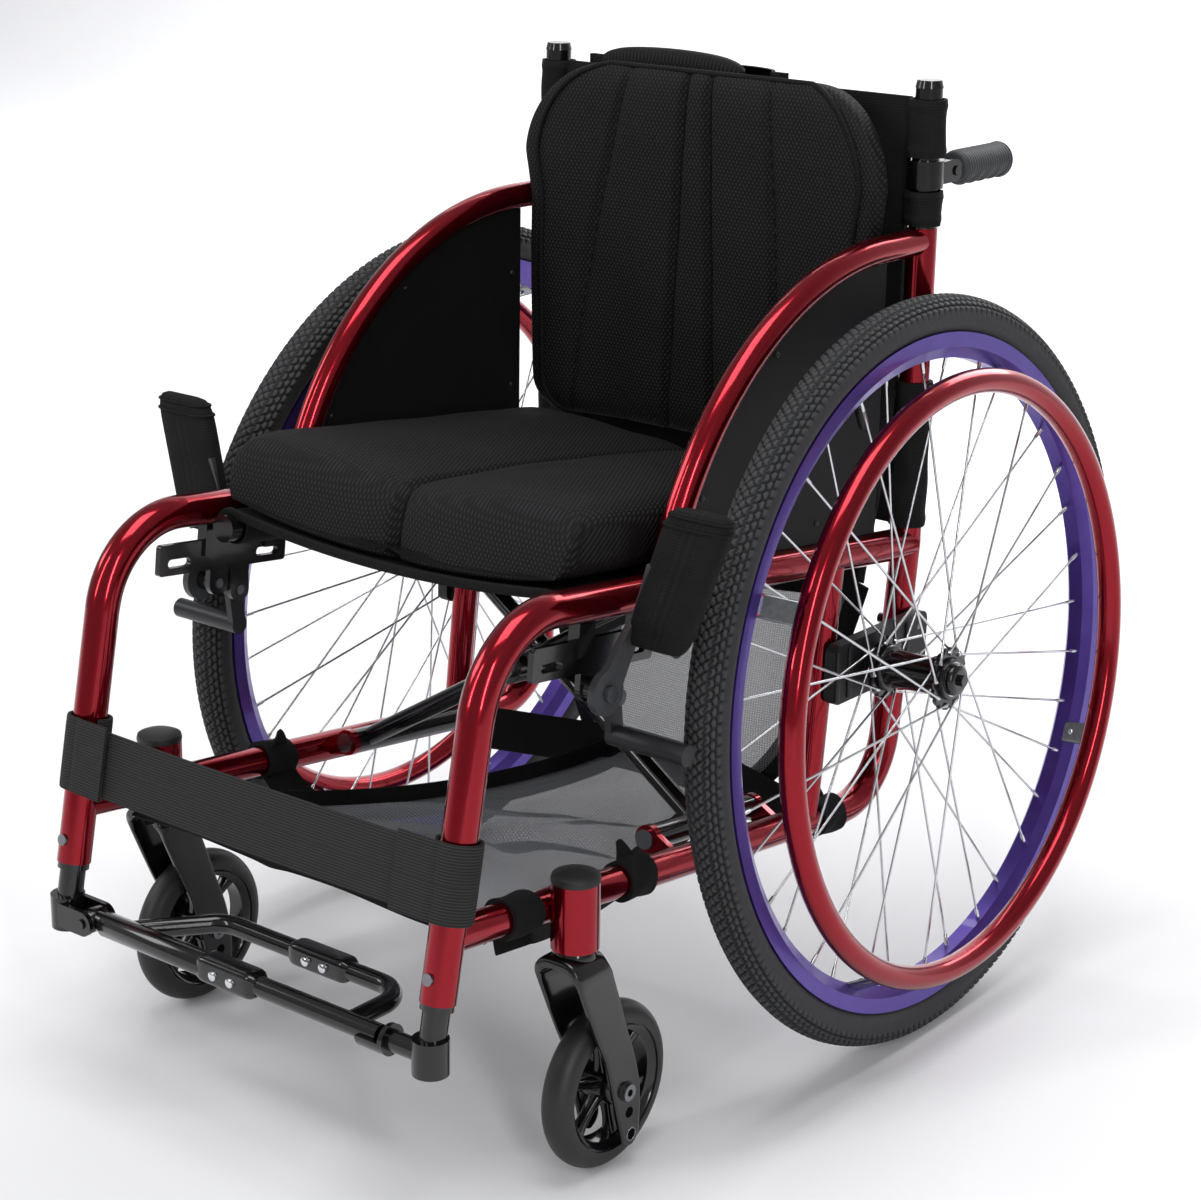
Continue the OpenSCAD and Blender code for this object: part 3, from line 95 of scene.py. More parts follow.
def surface(points, wrap_u=False, wrap_v=False, cap=False, uv=None):
    """Quads over points[u, v]; cap adds a fan from each end row to that row's mean point."""
    nu, nv = points.shape[:2]
    i, j = np.meshgrid(np.arange(nu - (not wrap_u)), np.arange(nv - (not wrap_v)), indexing="ij")
    i1, j1 = (i + 1) % nu, (j + 1) % nv
    quads = np.stack([i * nv + j, i1 * nv + j, i1 * nv + j1, i * nv + j1], -1).reshape(-1, 4)
    if uv is None:
        a = np.linspace(0, 1, nu + wrap_u)
        b = np.linspace(0, 1, nv + wrap_v)
        uv = np.stack(np.meshgrid(a, b, indexing="ij"), -1)
    quad_uv = np.stack([uv[i, j], uv[i + 1, j], uv[i + 1, j + 1], uv[i, j + 1]], -2).reshape(-1, 4, 2)
    verts = points.reshape(-1, 3)
    tris, tri_uv = np.zeros((0, 3), int), np.zeros((0, 3, 2))
    if cap:
        k = np.arange(nv - (not wrap_v))
        k1 = (k + 1) % nv
        last = (nu - 1) * nv
        mids = np.stack([points[0].mean(0), points[-1].mean(0)])
        verts = np.concatenate([verts, mids])
        one = np.stack([np.full_like(k, nu * nv), k, k1], -1)
        two = np.stack([np.full_like(k, nu * nv + 1), last + k1, last + k], -1)
        tris = np.concatenate([one, two])
        tri_uv = np.zeros((len(tris), 3, 2))
        tri_uv[:, 1:] = np.concatenate([uv[0][np.stack([k, k + 1], -1)], uv[-1][np.stack([k + 1, k], -1)]])
        tri_uv[:, 0] = tri_uv[:, 1:].mean(1)
    return outward({"v": verts, "q": quads, "qt": quad_uv, "t": tris, "tt": tri_uv})


def outward(shape):
    """Turns a closed shape's faces out: the sum of its tetrahedra from the middle has to be positive."""
    v = shape["v"] - shape["v"].mean(0)
    q, t = shape["q"], shape["t"]
    faces = np.concatenate([q[:, [0, 1, 2]], q[:, [0, 2, 3]], t])
    volume = np.einsum("ij,ij->i", v[faces[:, 0]], np.cross(v[faces[:, 1]], v[faces[:, 2]])).sum()
    return flipped(shape) if volume < 0 else shape


def flipped(shape):
    """The same shape with each face's corners in the other order."""
    return {"v": shape["v"], "q": shape["q"][:, ::-1], "qt": shape["qt"][:, ::-1],
            "t": shape["t"][:, ::-1], "tt": shape["tt"][:, ::-1]}


def mirrored(shape):
    """The shape reflected to the chair's other side."""
    return flipped({**shape, "v": shape["v"] * [-1, 1, 1]})


def moved(shape, fn):
    """The shape with its points passed through fn, and its faces turned out again."""
    return outward({**shape, "v": fn(shape["v"])})


def unit(v):
    """Vectors of length one in the same directions."""
    return v / np.linalg.norm(v, axis=-1, keepdims=True)


print("grid helpers ready")

# %% [markdown]
# ## Sweeps and turned shapes
# A tube, a strap and a seam are all a profile carried along a path. A hub, a bolt and a grip's end are a
# profile turned about an axis. Rounded profiles come from a cosine and a sine raised to a small power.

# %% Sweeps, profiles and turned shapes
def run_length(line):
    """Distance from a line's start to each of its points."""
    return np.concatenate([[0], np.cumsum(np.linalg.norm(np.diff(line, axis=0), axis=1))])


def sweep(path, profile, up, wrap=False):
    """A profile of (across, along up) carried along a path; up is made square to the path at each step."""
    path = np.asarray(path, float)
    if wrap:
        tangent = unit(np.roll(path, -1, 0) - np.roll(path, 1, 0))
    else:
        tangent = unit(np.gradient(path, axis=0))
    up = np.broadcast_to(np.asarray(up, float), path.shape)
    up = unit(up - (up * tangent).sum(-1, keepdims=True) * tangent)
    across = np.cross(tangent, up)
    profile = np.asarray(profile, float)
    if profile.ndim == 2:
        profile = np.broadcast_to(profile, (len(path), *profile.shape))
    points = path[:, None] + profile[..., :1] * across[:, None] + profile[..., 1:] * up[:, None]
    steps = run_length(path)
    edge = np.concatenate([profile[0], profile[0][:1]])
    girth = run_length(edge)
    if wrap:
        steps = np.append(steps, steps[-1] + np.linalg.norm(path[0] - path[-1]))
    uv = np.stack(np.meshgrid(steps, girth, indexing="ij"), -1) * MM
    return surface(points, wrap, True, not wrap, uv)


def ring(radius, count=16):
    """A circle as a profile."""
    a = turns(count)
    return radius * xyz(np.cos(a), np.sin(a))


def soft_box(width, height, count=32, power=0.4):
    """A rounded rectangle as a profile: cosine and sine raised to a small power."""
    a = turns(count)
    return xyz(width / 2 * squared(np.cos(a), power), height / 2 * squared(np.sin(a), power))


def even_box(half_a, half_b, power_a, power_b, count):
    """A rounded box of unit half sizes, its points spread evenly along the edge of a half_a by half_b box."""
    samples = 24001
    a = np.linspace(0, 2 * math.pi, samples)
    pa, pb = squared(np.cos(a), power_a), squared(np.sin(a), power_b)
    edge = np.concatenate([[0], np.cumsum(np.hypot(np.diff(pa) * half_a, np.diff(pb) * half_b))])
    want = np.arange(count) * edge[-1] / count
    return np.interp(want, edge, pa), np.interp(want, edge, pb)


def lathe(profile, count=64):
    """A profile of (radius, height) turned about the z axis, closed at both ends by its own caps."""
    a = turns(count)
    r, w = np.asarray(profile, float).T[..., None]
    return surface(xyz(r * np.cos(a), r * np.sin(a), w), False, True, True)


def hoop(section, count=256):
    """A closed section of (radius, height) turned about the z axis into a ring."""
    a = turns(count)[:, None]
    r, w = np.asarray(section, float).T
    return surface(xyz(r * np.cos(a), r * np.sin(a), w), True, True)


def slab(outline, low, high, edge=0.6):
    """A flat plate from an outline in (x, y) between two heights, its rims broken by a small chamfer."""
    outline = np.asarray(outline, float)
    mid = outline.mean(0)
    out = outline - mid
    size = np.linalg.norm(out, axis=1, keepdims=True)
    inner = mid + out * np.maximum(0.05, 1 - edge / size)
    rows = [(inner, low), (outline, low + edge), (outline, high - edge), (inner, high)]
    points = np.stack([xyz(line[:, 0], line[:, 1], height) for line, height in rows])
    return surface(points, False, True, True)


def turned(shape, at, axis, up=(0, 0, 1)):
    """A shape built about the z axis, stood at a point with its z along axis."""
    axis = unit(np.asarray(axis, float))
    up = np.asarray(up, float)
    if abs(axis @ up) > 0.95:
        up = np.array([0, 1.0, 0])
    side = unit(np.cross(up, axis))
    third = np.cross(axis, side)
    basis = np.stack([side, third, axis])
    return moved(shape, lambda v: v @ basis + np.asarray(at, float))


def joined(shapes):
    """Several shapes as one."""
    starts = np.cumsum([0] + [len(s["v"]) for s in shapes[:-1]])
    return {"v": np.concatenate([s["v"] for s in shapes]),
            "q": np.concatenate([s["q"] + k for s, k in zip(shapes, starts)]),
            "qt": np.concatenate([s["qt"] for s in shapes]),
            "t": np.concatenate([s["t"] + k for s, k in zip(shapes, starts)]),
            "tt": np.concatenate([s["tt"] for s in shapes])}


print("profile helpers ready")

# %% [markdown]
# ## From a shape to a piece
# A piece is a mesh with a finish, and it says which body it rides and which imported piece it stands for.
# Cloth that spans the chair is held by the frames or by the seat tubes, which end closer together, and
# gets a mesh of its own.


def crumple(thing):
    """Gives the cloth its own copy of its mesh; it does not squash it."""
    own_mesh(thing)


def piece(name, shapes, finish, body, slot, stands_for=None, crease=40, between=None):
    """Makes one object from shapes in millimetres, with its finish, its body and what it stands for."""
    shape = joined(shapes if isinstance(shapes, list) else [shapes])
    mesh = bpy.data.meshes.new(name)
    mesh.from_pydata(place(shape["v"]).tolist(), [], shape["q"].tolist() + shape["t"].tolist())
    uv = np.concatenate([shape["qt"].reshape(-1), shape["tt"].reshape(-1)]).astype(np.float32)
    mesh.uv_layers.new(name="UVMap").data.foreach_set("uv", uv)
    mesh.polygons.foreach_set("use_smooth", np.ones(len(mesh.polygons), bool))
    mesh.set_sharp_from_angle(angle=math.radians(crease))
    mesh.materials.append(finish)
    thing = bpy.data.objects.new(name, mesh)
    bpy.context.scene.collection.objects.link(thing)
    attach(thing, body)
    if stands_for:
        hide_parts(stands_for)
    if between:
        crumple(thing)
    return thing


def pair(name, shapes, finish, body, slot, stands_for=None, **more):
    """The same piece on both sides, drawn for the left one."""
    shape = joined(shapes if isinstance(shapes, list) else [shapes])
    made = []
    for side, hand in SIDES:
        own = shape if hand > 0 else mirrored(shape)
        node = f"{side}_{stands_for}" if stands_for else None
        made.append(piece(f"{side}_{name}", own, finish, f"{side}_{body}", slot, node, **more))
    return made


def trim(name, shapes, body="left_frame", between="frames"):
    """Sewn tape or piping, on the body of the cloth it edges."""
    return piece(name, shapes, PIPING, body, "black_cloth", between=between)


# %% [markdown]
# ## Finishes
# Each finish starts from what the real surface is. One function turns a hex colour to linear light, and one
# adds a node with its settings and links. Patterns are sized in metres, from the real thread or grit,
# or drawn a little coarser where the real one would be finer than a pixel.

# %% Finish helpers
def hex_colour(code):
    """An sRGB hex value as linear red, green, blue and full alpha."""
    c = np.array([int(code[k:k + 2], 16) for k in (1, 3, 5)]) / 255
    return (*np.where(c <= 0.04045, c / 12.92, ((c + 0.055) / 1.055) ** 2.4).tolist(), 1.0)


def add(tree, kind, links=None, **settings):
    """Adds a node; links gives each input a value or another node's output."""
    node = tree.nodes.new(kind)
    for key, value in settings.items():
        setattr(node, key, value)
    for key, value in (links or {}).items():
        if isinstance(value, bpy.types.NodeSocket):
            tree.links.new(value, node.inputs[key])
        else:
            node.inputs[key].default_value = value
    return node


def finish(name, **sockets):
    """A new material whose main shader has these socket values; underscores stand for spaces."""
    mat = bpy.data.materials.new(name)
    mat.use_nodes = True
    shader = mat.node_tree.nodes["Principled BSDF"]
    for key, value in sockets.items():
        shader.inputs[key.replace("_", " ")].default_value = value
    return mat, mat.node_tree, shader


def dress(tree, shader, tint, rough=None, bump=None):
    """Lays patterns on a shader.

    tint is a factor with the colours at 0 and 1, rough a factor with the roughness at 0 and 1, and bump a
    height from 0 to 1 with how tall that is in millimetres and its strength."""
    factor, low, high = tint
    ends = {"Factor": factor, 6: hex_colour(low), 7: hex_colour(high)}
    mix = add(tree, "ShaderNodeMix", ends, data_type="RGBA")
    tree.links.new(mix.outputs[2], shader.inputs["Base Color"])
    if rough:
        factor, low, high = rough
        span = add(tree, "ShaderNodeMapRange", {"Value": factor, "To Min": low, "To Max": high})
        tree.links.new(span.outputs["Result"], shader.inputs["Roughness"])
    if bump:
        height, tall_mm, strength = bump
        relief = {"Height": height, "Distance": tall_mm * MM, "Strength": strength}
        relief = add(tree, "ShaderNodeBump", relief)
        tree.links.new(relief.outputs["Normal"], shader.inputs["Normal"])


def grain(tree, size_mm, coords="Object"):
    """Noise whose lumps are about size_mm across."""
    where = add(tree, "ShaderNodeTexCoord").outputs[coords]
    lumps = {"Vector": where, "Scale": 1 / (size_mm * MM), "Detail": 4.0}
    return add(tree, "ShaderNodeTexNoise", lumps).outputs["Fac"]


def stripes(tree, pitch_mm, turn=0.0, axis="X"):
    """Smooth stripes, one each pitch_mm along the cloth, turned by an angle in degrees."""
    where = add(tree, "ShaderNodeTexCoord").outputs["UV"]
    spin = add(tree, "ShaderNodeMapping", {"Vector": where, "Rotation": (0, 0, math.radians(turn))})
    bands_per_metre = 1 / (pitch_mm * MM)
    scale = bands_per_metre * math.pi / 10
    wave = add(tree, "ShaderNodeTexWave", {"Vector": spin.outputs["Vector"], "Scale": scale},
               wave_type="BANDS", bands_direction=axis, wave_profile="SIN")
    return wave.outputs["Fac"]


print("finish helpers ready")

# %% [markdown]
# ## Hard finishes
# Candy paint is a red lacquer over bright metal under a clear coat, so it is dark and saturated face on and
# flares pink where light strikes. The rims are anodised aluminium. Black tubes and the forks are powder
# coated and glossy, brake levers are blasted alloy, spokes are bright steel, and the frame's screws and the
# caster bolts are zinc plated.

# %% Paints, metals and plastics
# Clear red lacquer over metal: deep red with sharp highlights, mottled a little by its flakes.
CANDY_RED, tree, shader = finish("candy_red_lacquer", Metallic=0.92, Roughness=0.16,
                                 Coat_Weight=0.4, Coat_Roughness=0.03)
dress(tree, shader, (grain(tree, 0.9), "#7e0213", "#9d041d"), rough=(grain(tree, 35), 0.13, 0.22))

# Anodised aluminium: a satin metal whose dye shifts slightly round the rim.
PURPLE, tree, shader = finish("purple_anodised_aluminium", Metallic=0.75, Roughness=0.34, Coat_Weight=0.25)
dress(tree, shader, (grain(tree, 22), "#4b328f", "#5e47a3"), rough=(grain(tree, 6), 0.28, 0.42))

# Powder coat: near black with a wet gloss and a faint orange peel.
GLOSS_BLACK, tree, shader = finish("black_powder_coat", Roughness=0.16, Specular_IOR_Level=0.45,
                                   Coat_Weight=0.25, Coat_Roughness=0.06)
dress(tree, shader, (grain(tree, 30), "#080809", "#0f0f10"), bump=(grain(tree, 1.6), 0.03, 0.5))

# Cast alloy with a satin skin: dark grey, its highlights broad and soft.
SATIN_GREY, tree, shader = finish("satin_cast_alloy", Metallic=0.2, Roughness=0.4)
dress(tree, shader, (grain(tree, 12), "#17181a", "#222326"), bump=(grain(tree, 1.2), 0.05, 0.6))

# Alloy blasted with fine beads: mid grey, without sharp highlights.
CAST, tree, shader = finish("bead_blasted_alloy", Metallic=0.5, Roughness=0.42)
dress(tree, shader, (grain(tree, 10), "#3a3c3f", "#4b4d50"), bump=(grain(tree, 1.0), 0.04, 0.5))

# Bright plated steel: thin lines that catch the light.
STEEL, tree, shader = finish("plated_steel", Metallic=1.0, Roughness=0.2)
dress(tree, shader, (grain(tree, 5), "#c6c9cd", "#e6e8ea"), rough=(grain(tree, 3), 0.14, 0.3))

# Zinc plating: a duller, greyer metal than the spokes.
ZINC, tree, shader = finish("zinc_plated_steel", Metallic=1.0, Roughness=0.26)
dress(tree, shader, (grain(tree, 4), "#6f7276", "#93969a"))

# Turned brass: warm and fairly bright.
BRASS, tree, shader = finish("turned_brass", Metallic=1.0, Roughness=0.3)
dress(tree, shader, (grain(tree, 3), "#a98243", "#c8a262"))

# Moulded nylon: black, with the mould's fine spark texture.
MOULDED, tree, shader = finish("moulded_black_nylon", Roughness=0.5)
dress(tree, shader, (grain(tree, 14), "#0b0b0c", "#131415"), bump=(grain(tree, 0.8), 0.05, 0.6))

# Grained sheet: black and dull, with a leathery grain about 2 mm across.
GUARD, tree, shader = finish("grained_guard_panel", Roughness=0.62, Specular_IOR_Level=0.25)
dress(tree, shader, (grain(tree, 18), "#0b0b0c", "#121314"), bump=(grain(tree, 1.8), 0.12, 0.7))

# Painted shade: near-black for the inside of a drilled hole or socket, which almost no light leaves.
BORE_SHADE, tree, shader = finish("unlit_drilled_bore", Roughness=0.9, Specular_IOR_Level=0.05)
dress(tree, shader, (grain(tree, 2), "#010101", "#030303"))
print("hard finishes made")

# %% [markdown]
# ## Rubber and cloth
# Tyres are matt carbon rubber with a film of dust, their grooves darkened by painted shade. Cushion covers are
# spacer mesh: a knitted face of fine diagonal holes over a darker ground, in cells of about 3 mm, with painted
# shade deepening the holes. Webbing has fine ribs along its length, and the basket is an open net.

# %% Rubber and cloth finishes
# Carbon rubber: matt, darker in the grooves by painted shade, and paler where the tread's blocks are worn and
# dusty.
TREAD, tree, shader = finish("tread_rubber", Roughness=0.6, Specular_IOR_Level=0.35)
where = add(tree, "ShaderNodeTexCoord")
# The UV's y carries the tyre's colour mask: painted shade in the grooves, paler worn and dusty block tops.
wear_and_groove_shade = add(tree, "ShaderNodeSeparateXYZ", {"Vector": where.outputs["UV"]}).outputs["Y"]
dress(tree, shader, (wear_and_groove_shade, "#0a0a0b", "#353638"),
      rough=(grain(tree, 4), 0.5, 0.75), bump=(grain(tree, 1.2), 0.06, 0.5))

# Solid rubber: black with a soft sheen.
CASTER_RUBBER, tree, shader = finish("solid_caster_rubber", Roughness=0.48)
dress(tree, shader, (grain(tree, 8), "#111112", "#1b1b1c"), bump=(grain(tree, 1.5), 0.04, 0.5))

# Soft rubber: dark grey and dull.
GRIP, tree, shader = finish("grip_rubber", Roughness=0.6)
dress(tree, shader, (grain(tree, 7), "#26282b", "#34363a"), bump=(grain(tree, 0.9), 0.08, 0.7))

# The same rubber scuffed pale by use.
GRIP_END, tree, shader = finish("worn_grip_end", Roughness=0.55)
dress(tree, shader, (grain(tree, 5), "#6f7173", "#8b8d8f"))

# Knitted spacer mesh: black, with slanting rows of small holes in cells of about 3 mm; the holes are darker,
# partly the darker ground and partly painted shade.
MESH, tree, shader = finish("black_spacer_mesh", Roughness=0.75, Specular_IOR_Level=0.22)
left_lean, right_lean = stripes(tree, 3.2, 32), stripes(tree, 3.2, -32)
cells = add(tree, "ShaderNodeMath", {0: left_lean, 1: right_lean}, operation="MULTIPLY").outputs["Value"]
# The low end of the cells mask, the holes, carries painted shade as well as the ground's darker colour.
dress(tree, shader, (cells, "#060607", "#29292c"), bump=(cells, 0.8, 0.9))

# Woven nylon: black with a faint cross of threads. Drawn at 2.2 mm, since real threads wouldn't show.
CLOTH, tree, shader = finish("black_woven_cloth", Roughness=0.85, Specular_IOR_Level=0.2)
warp, weft = stripes(tree, 2.2), stripes(tree, 2.2, 90)
weave = add(tree, "ShaderNodeMath", {0: warp, 1: weft}, operation="ADD").outputs["Value"]
blotch = grain(tree, 26, "UV")
fuzz = add(tree, "ShaderNodeMath", {0: weave, 1: blotch}, operation="MULTIPLY").outputs["Value"]
dress(tree, shader, (fuzz, "#0a0a0b", "#1a1a1c"), bump=(weave, 0.25, 0.6))

# Binding tape: blacker than the cloth, with ribs across it, drawn coarse enough to show.
# Along the back cushion's middle seams its blackness is partly painted shade in the pressed seams.
PIPING, tree, shader = finish("sewn_binding_tape", Roughness=0.75, Specular_IOR_Level=0.2)
rib = stripes(tree, 2.5)
dress(tree, shader, (rib, "#050506", "#0e0e10"), bump=(rib, 0.3, 0.6))

# Ribbed webbing: dark grey ribs along the strap.
WEBBING, tree, shader = finish("ribbed_webbing", Roughness=0.8, Specular_IOR_Level=0.3)
rib = stripes(tree, 2.2, axis="Y")
dress(tree, shader, (rib, "#141414", "#2e2e2d"), bump=(rib, 0.5, 0.8))

# Open net of grey thread: what is behind it shows through by about half.
NET, tree, shader = finish("open_basket_net", Roughness=0.85)
warp, weft = stripes(tree, 2.2), stripes(tree, 2.2, 90)
net = add(tree, "ShaderNodeMath", {0: warp, 1: weft}, operation="MAXIMUM").outputs["Value"]
dress(tree, shader, (net, "#5a5d61", "#7c7f84"), bump=(net, 0.2, 0.4))
cover = {"Value": net, "From Min": 0.35, "From Max": 0.95, "To Min": 0.40, "To Max": 0.72}
alpha = add(tree, "ShaderNodeMapRange", cover).outputs["Result"]
tree.links.new(alpha, shader.inputs["Alpha"])
print("soft finishes made")

# %% [markdown]
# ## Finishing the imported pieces
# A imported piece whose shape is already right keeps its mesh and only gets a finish.

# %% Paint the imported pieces
PAINT = {
    "side_frame": CANDY_RED, "hand_rim": CANDY_RED, "side_guard": GUARD, "back_post": GLOSS_BLACK,
    "axle_plate": MOULDED, "axle_pin": GLOSS_BLACK, "axle_button": GLOSS_BLACK, "brake_mount": GLOSS_BLACK,
    "brake_lever": CAST, "brake_shoe": SATIN_GREY, "foot_rest_tube": GLOSS_BLACK,
    "foot_hinge_tube": GLOSS_BLACK, "headset": MOULDED, "push_handle": GLOSS_BLACK, "rim": PURPLE,
    "spokes": STEEL, "hub_bearings": STEEL, "caster_tyre": CASTER_RUBBER, "caster_bolt": ZINC,
    "frame_screws": ZINC, "cross_arm_a": GLOSS_BLACK, "cross_arm_b": GLOSS_BLACK, "cross_bolt": STEEL,
}
for name, thing in NODES.items():
    plain = name.removeprefix("left_").removeprefix("right_")
    if plain in PAINT:
        thing.data.materials.clear()
        thing.data.materials.append(PAINT[plain])
        thing.data.polygons.foreach_set("material_index", np.zeros(len(thing.data.polygons), np.int32))
print("packed pieces finished", len(PAINT))

# %% [markdown]
# ## The chair's own directions
# The seat falls 6.4 degrees to the back, so seat pieces are drawn in a rail frame: x across, n square to the
# rails and up, s forward along them. Wheels lean 3.7 degrees, top inwards, so wheel pieces are drawn
# about their own axle and then stood in place.

# %% Rail frame and wheel frame
SLOPE = math.radians(6.4)
FRAME_X, POST_Y, SEAT_H, RAIL_Z = 190.0, 78.0, 384.0, 169.4
RAIL_GAP = (SEAT_H + POST_Y * math.tan(SLOPE) - RAIL_Z) * math.cos(SLOPE)
CAMBER, WHEEL_X, TYRE_MID, TYRE_R = math.radians(3.7), 258.0, 287.5, 17.5
HUB_Z = TYRE_MID * math.cos(CAMBER) + TYRE_R


def on_rails(x, n, s):
    """Rail frame to chair: s runs forward and up, n runs up and back."""
    y = n * math.sin(SLOPE) - s * math.cos(SLOPE)
    z = RAIL_Z + n * math.cos(SLOPE) + s * math.sin(SLOPE)
    return xyz(x, y, z)


def in_wheel(v):
    """Wheel frame to chair: local z is the axle outwards, local x points down the leaning wheel."""
    c, s = math.cos(CAMBER), math.sin(CAMBER)
    basis = np.array([[s, 0, -c], [0, 1, 0], [c, 0, s]])
    return v @ basis + [WHEEL_X, 0, HUB_Z]


LEG_RAKE, CORNER_Y = math.radians(11.3), -452.0
CORNER_Z = SEAT_H + (POST_Y - CORNER_Y) * math.tan(SLOPE)


def leg_y(z):
    """How far back the middle of the front leg is at a height."""
    return CORNER_Y - (CORNER_Z - z) * math.tan(LEG_RAKE)


print("rails are", round(RAIL_GAP, 1), "mm apart, hubs", round(HUB_Z, 1), "mm high")


# %% [markdown]
# ## Tyres
# The tread is the one place where bump would betray itself in silhouette, so its blocks are cut in the mesh.
# The section is an arc from bead to bead. Grooves follow a zigzag along the tread, cross cuts part
# the blocks, and the shoulder blocks stand between them. Two fine lines run round each smooth sidewall.

# %% Tyres with cut tread
def tyre_shape():
    """Radius = arc of 17.5 mm less a groove depth that depends on the place across and along the tread."""
    around, blocks_round, outer = 1840, 230, TYRE_MID + TYRE_R
    flank = np.linspace(75, 148, 7)[1:]
    psi = np.radians(np.concatenate([-flank[::-1], np.linspace(-75, 75, 42), flank]))
    theta = turns(around)
    t, s = np.meshgrid(theta * outer, TYRE_R * psi, indexing="ij")
    pitch = 2 * math.pi * outer / blocks_round
    phase = t / pitch
    zig = np.abs((phase % 1) * 2 - 1) * 2 - 1
    mag = np.abs(s)

    def groove(distance, width):
        return np.clip(1.6 - 1.6 * np.abs(distance) / width, 0, 1)

    lane_at = (2.4, 7.6, 12.8, 17.6)
    lanes = np.zeros_like(mag)
    for at, sway, width in zip(lane_at, (1.1, 1.1, 1.0, 0.0), (1.0, 1.1, 1.1, 1.1)):
        lanes = np.maximum(lanes, groove(mag - at - zig * sway, width))
    row = np.digitize(mag, lane_at)
    cross = groove(((phase + 0.5 * row + 0.05 * (mag - 5.2 * row)) % 1 - 0.5) * pitch, 1.6)
    tread = np.clip(22.4 - mag, 0, 1)
    blocks = np.clip(np.maximum(lanes, cross), 0, 1) * tread
    side = 1 - tread
    line = np.clip(1 - np.abs(mag - 28) / 1.6, 0, 1) + np.clip(1 - np.abs(mag - 35) / 1.6, 0, 1)
    depth = 1.9 * blocks + 1.7 * side - 0.7 * line
    r = TYRE_MID + (TYRE_R - depth) * np.cos(psi)
    w = (TYRE_R - depth) * np.sin(psi)
    points = xyz(r * np.cos(theta)[:, None], r * np.sin(theta)[:, None], w)
    # Colour mask for the tread finish: painted shade in the grooves, paler worn and dusty block tops, a
    # slightly darker sidewall with paler raised lines.
    wear_and_groove_shade = np.clip(1 - blocks, 0, 1) * (1 - 0.3 * side) + 0.2 * line
    wear_and_groove_shade = np.pad(wear_and_groove_shade, ((0, 1), (0, 1)), mode="wrap")
    u = np.broadcast_to(np.linspace(0, 1.9, around + 1)[:, None], wear_and_groove_shade.shape)
    return moved(surface(points, True, True, uv=np.stack([u, wear_and_groove_shade], -1)), in_wheel)


tyres = pair("tread_tyre", tyre_shape(), TREAD, "rear_wheel", "tyre", "tyre", crease=60)
print("tyre faces", len(tyres[0].data.polygons))

# %% [markdown]
# ## Wheel details
# Each spoke ends in a plated nipple at the rim. The hub is a black barrel whose flanges are scalloped between
# the spoke holes. Dark brackets carry the hand rim, each with a screw, and a valve stands inside the rim.

# %% Nipples, hub, hand rim brackets and valve
RIM_HALF, RIM_DEEP, SPOKES, HUB_MID, FLANGE = 13.0, 21.0, 36, -3.0, 29.0
RIM_IN = TYRE_MID - math.sqrt(TYRE_R ** 2 - RIM_HALF ** 2) - RIM_DEEP


def spoke_lines():
    """Both ends of all spokes: alternate sides, leading and trailing by 60 degrees at the hub."""
    i = np.arange(SPOKES)
    side = np.where(i % 2 == 0, 1, -1)
    lead = np.where((i // 2) % 2 == 0, 1, -1)
    tip_a = turns(SPOKES)
    root_a = tip_a + lead * math.radians(60)
    root = xyz(22 * np.cos(root_a), 22 * np.sin(root_a), HUB_MID + side * FLANGE + lead * 2.2)
    tip = xyz((RIM_IN + 4) * np.cos(tip_a), (RIM_IN + 4) * np.sin(tip_a), side * 2.0)
    return root, tip


root, tip = spoke_lines()
along = unit(root - tip)
nipple = lathe([(0.4, -1), (2.3, -0.8), (2.3, 3.4), (1.7, 4.4), (1.6, 13.5), (1.2, 14)], 8)
nipples = [moved(turned(nipple, p, d), in_wheel) for p, d in zip(tip, along)]
bead = lathe([(0.3, -2.6), (1.7, -2.3), (2.1, -1.2), (1.7, 0), (1.1, 3)], 8)
heads = [moved(turned(bead, p, -d), in_wheel) for p, d in zip(root, along)]
pair("spoke_nipples", nipples + heads, STEEL, "rear_wheel", "steel")


def flange_outline(count=216):
    """A circle of 25.6 mm with eighteen shallow scallops between the spoke holes."""
    a = turns(count)
    r = 25.6 - 2.6 * np.clip(np.cos(SPOKES / 2 * a), 0, 1) ** 1.5
    return xyz(r * np.cos(a), r * np.sin(a))


hub = [lathe([(14.3, -40.5), (15.8, -40), (16.2, -37), (16.2, -34.5), (16.2, -29), (15.4, -10), (15.4, 8),
              (16.2, 19), (17.2, 24), (17.4, 29), (16.6, 31.4), (14.3, 31.8)], 64)]
for k in (-1, 1):
    hub.append(slab(flange_outline(), HUB_MID + k * FLANGE - 1.8, HUB_MID + k * FLANGE + 1.8, 0.5))
    hub.append(hoop(ring(3.2, 12) + [16, HUB_MID + k * 25.5], 64))
pair("hub_shell", [moved(s, in_wheel) for s in hub], GLOSS_BLACK, "rear_wheel", "black_metal", "hub")
cap = lathe([(6, 37.6), (8, 37.9), (11.2, 37.2), (12.9, 35.4), (13.3, 33.4), (12.8, 32.6), (8, 32.6)], 48)
pair("hub_cap", moved(cap, in_wheel), GLOSS_BLACK, "frame", "black_metal")

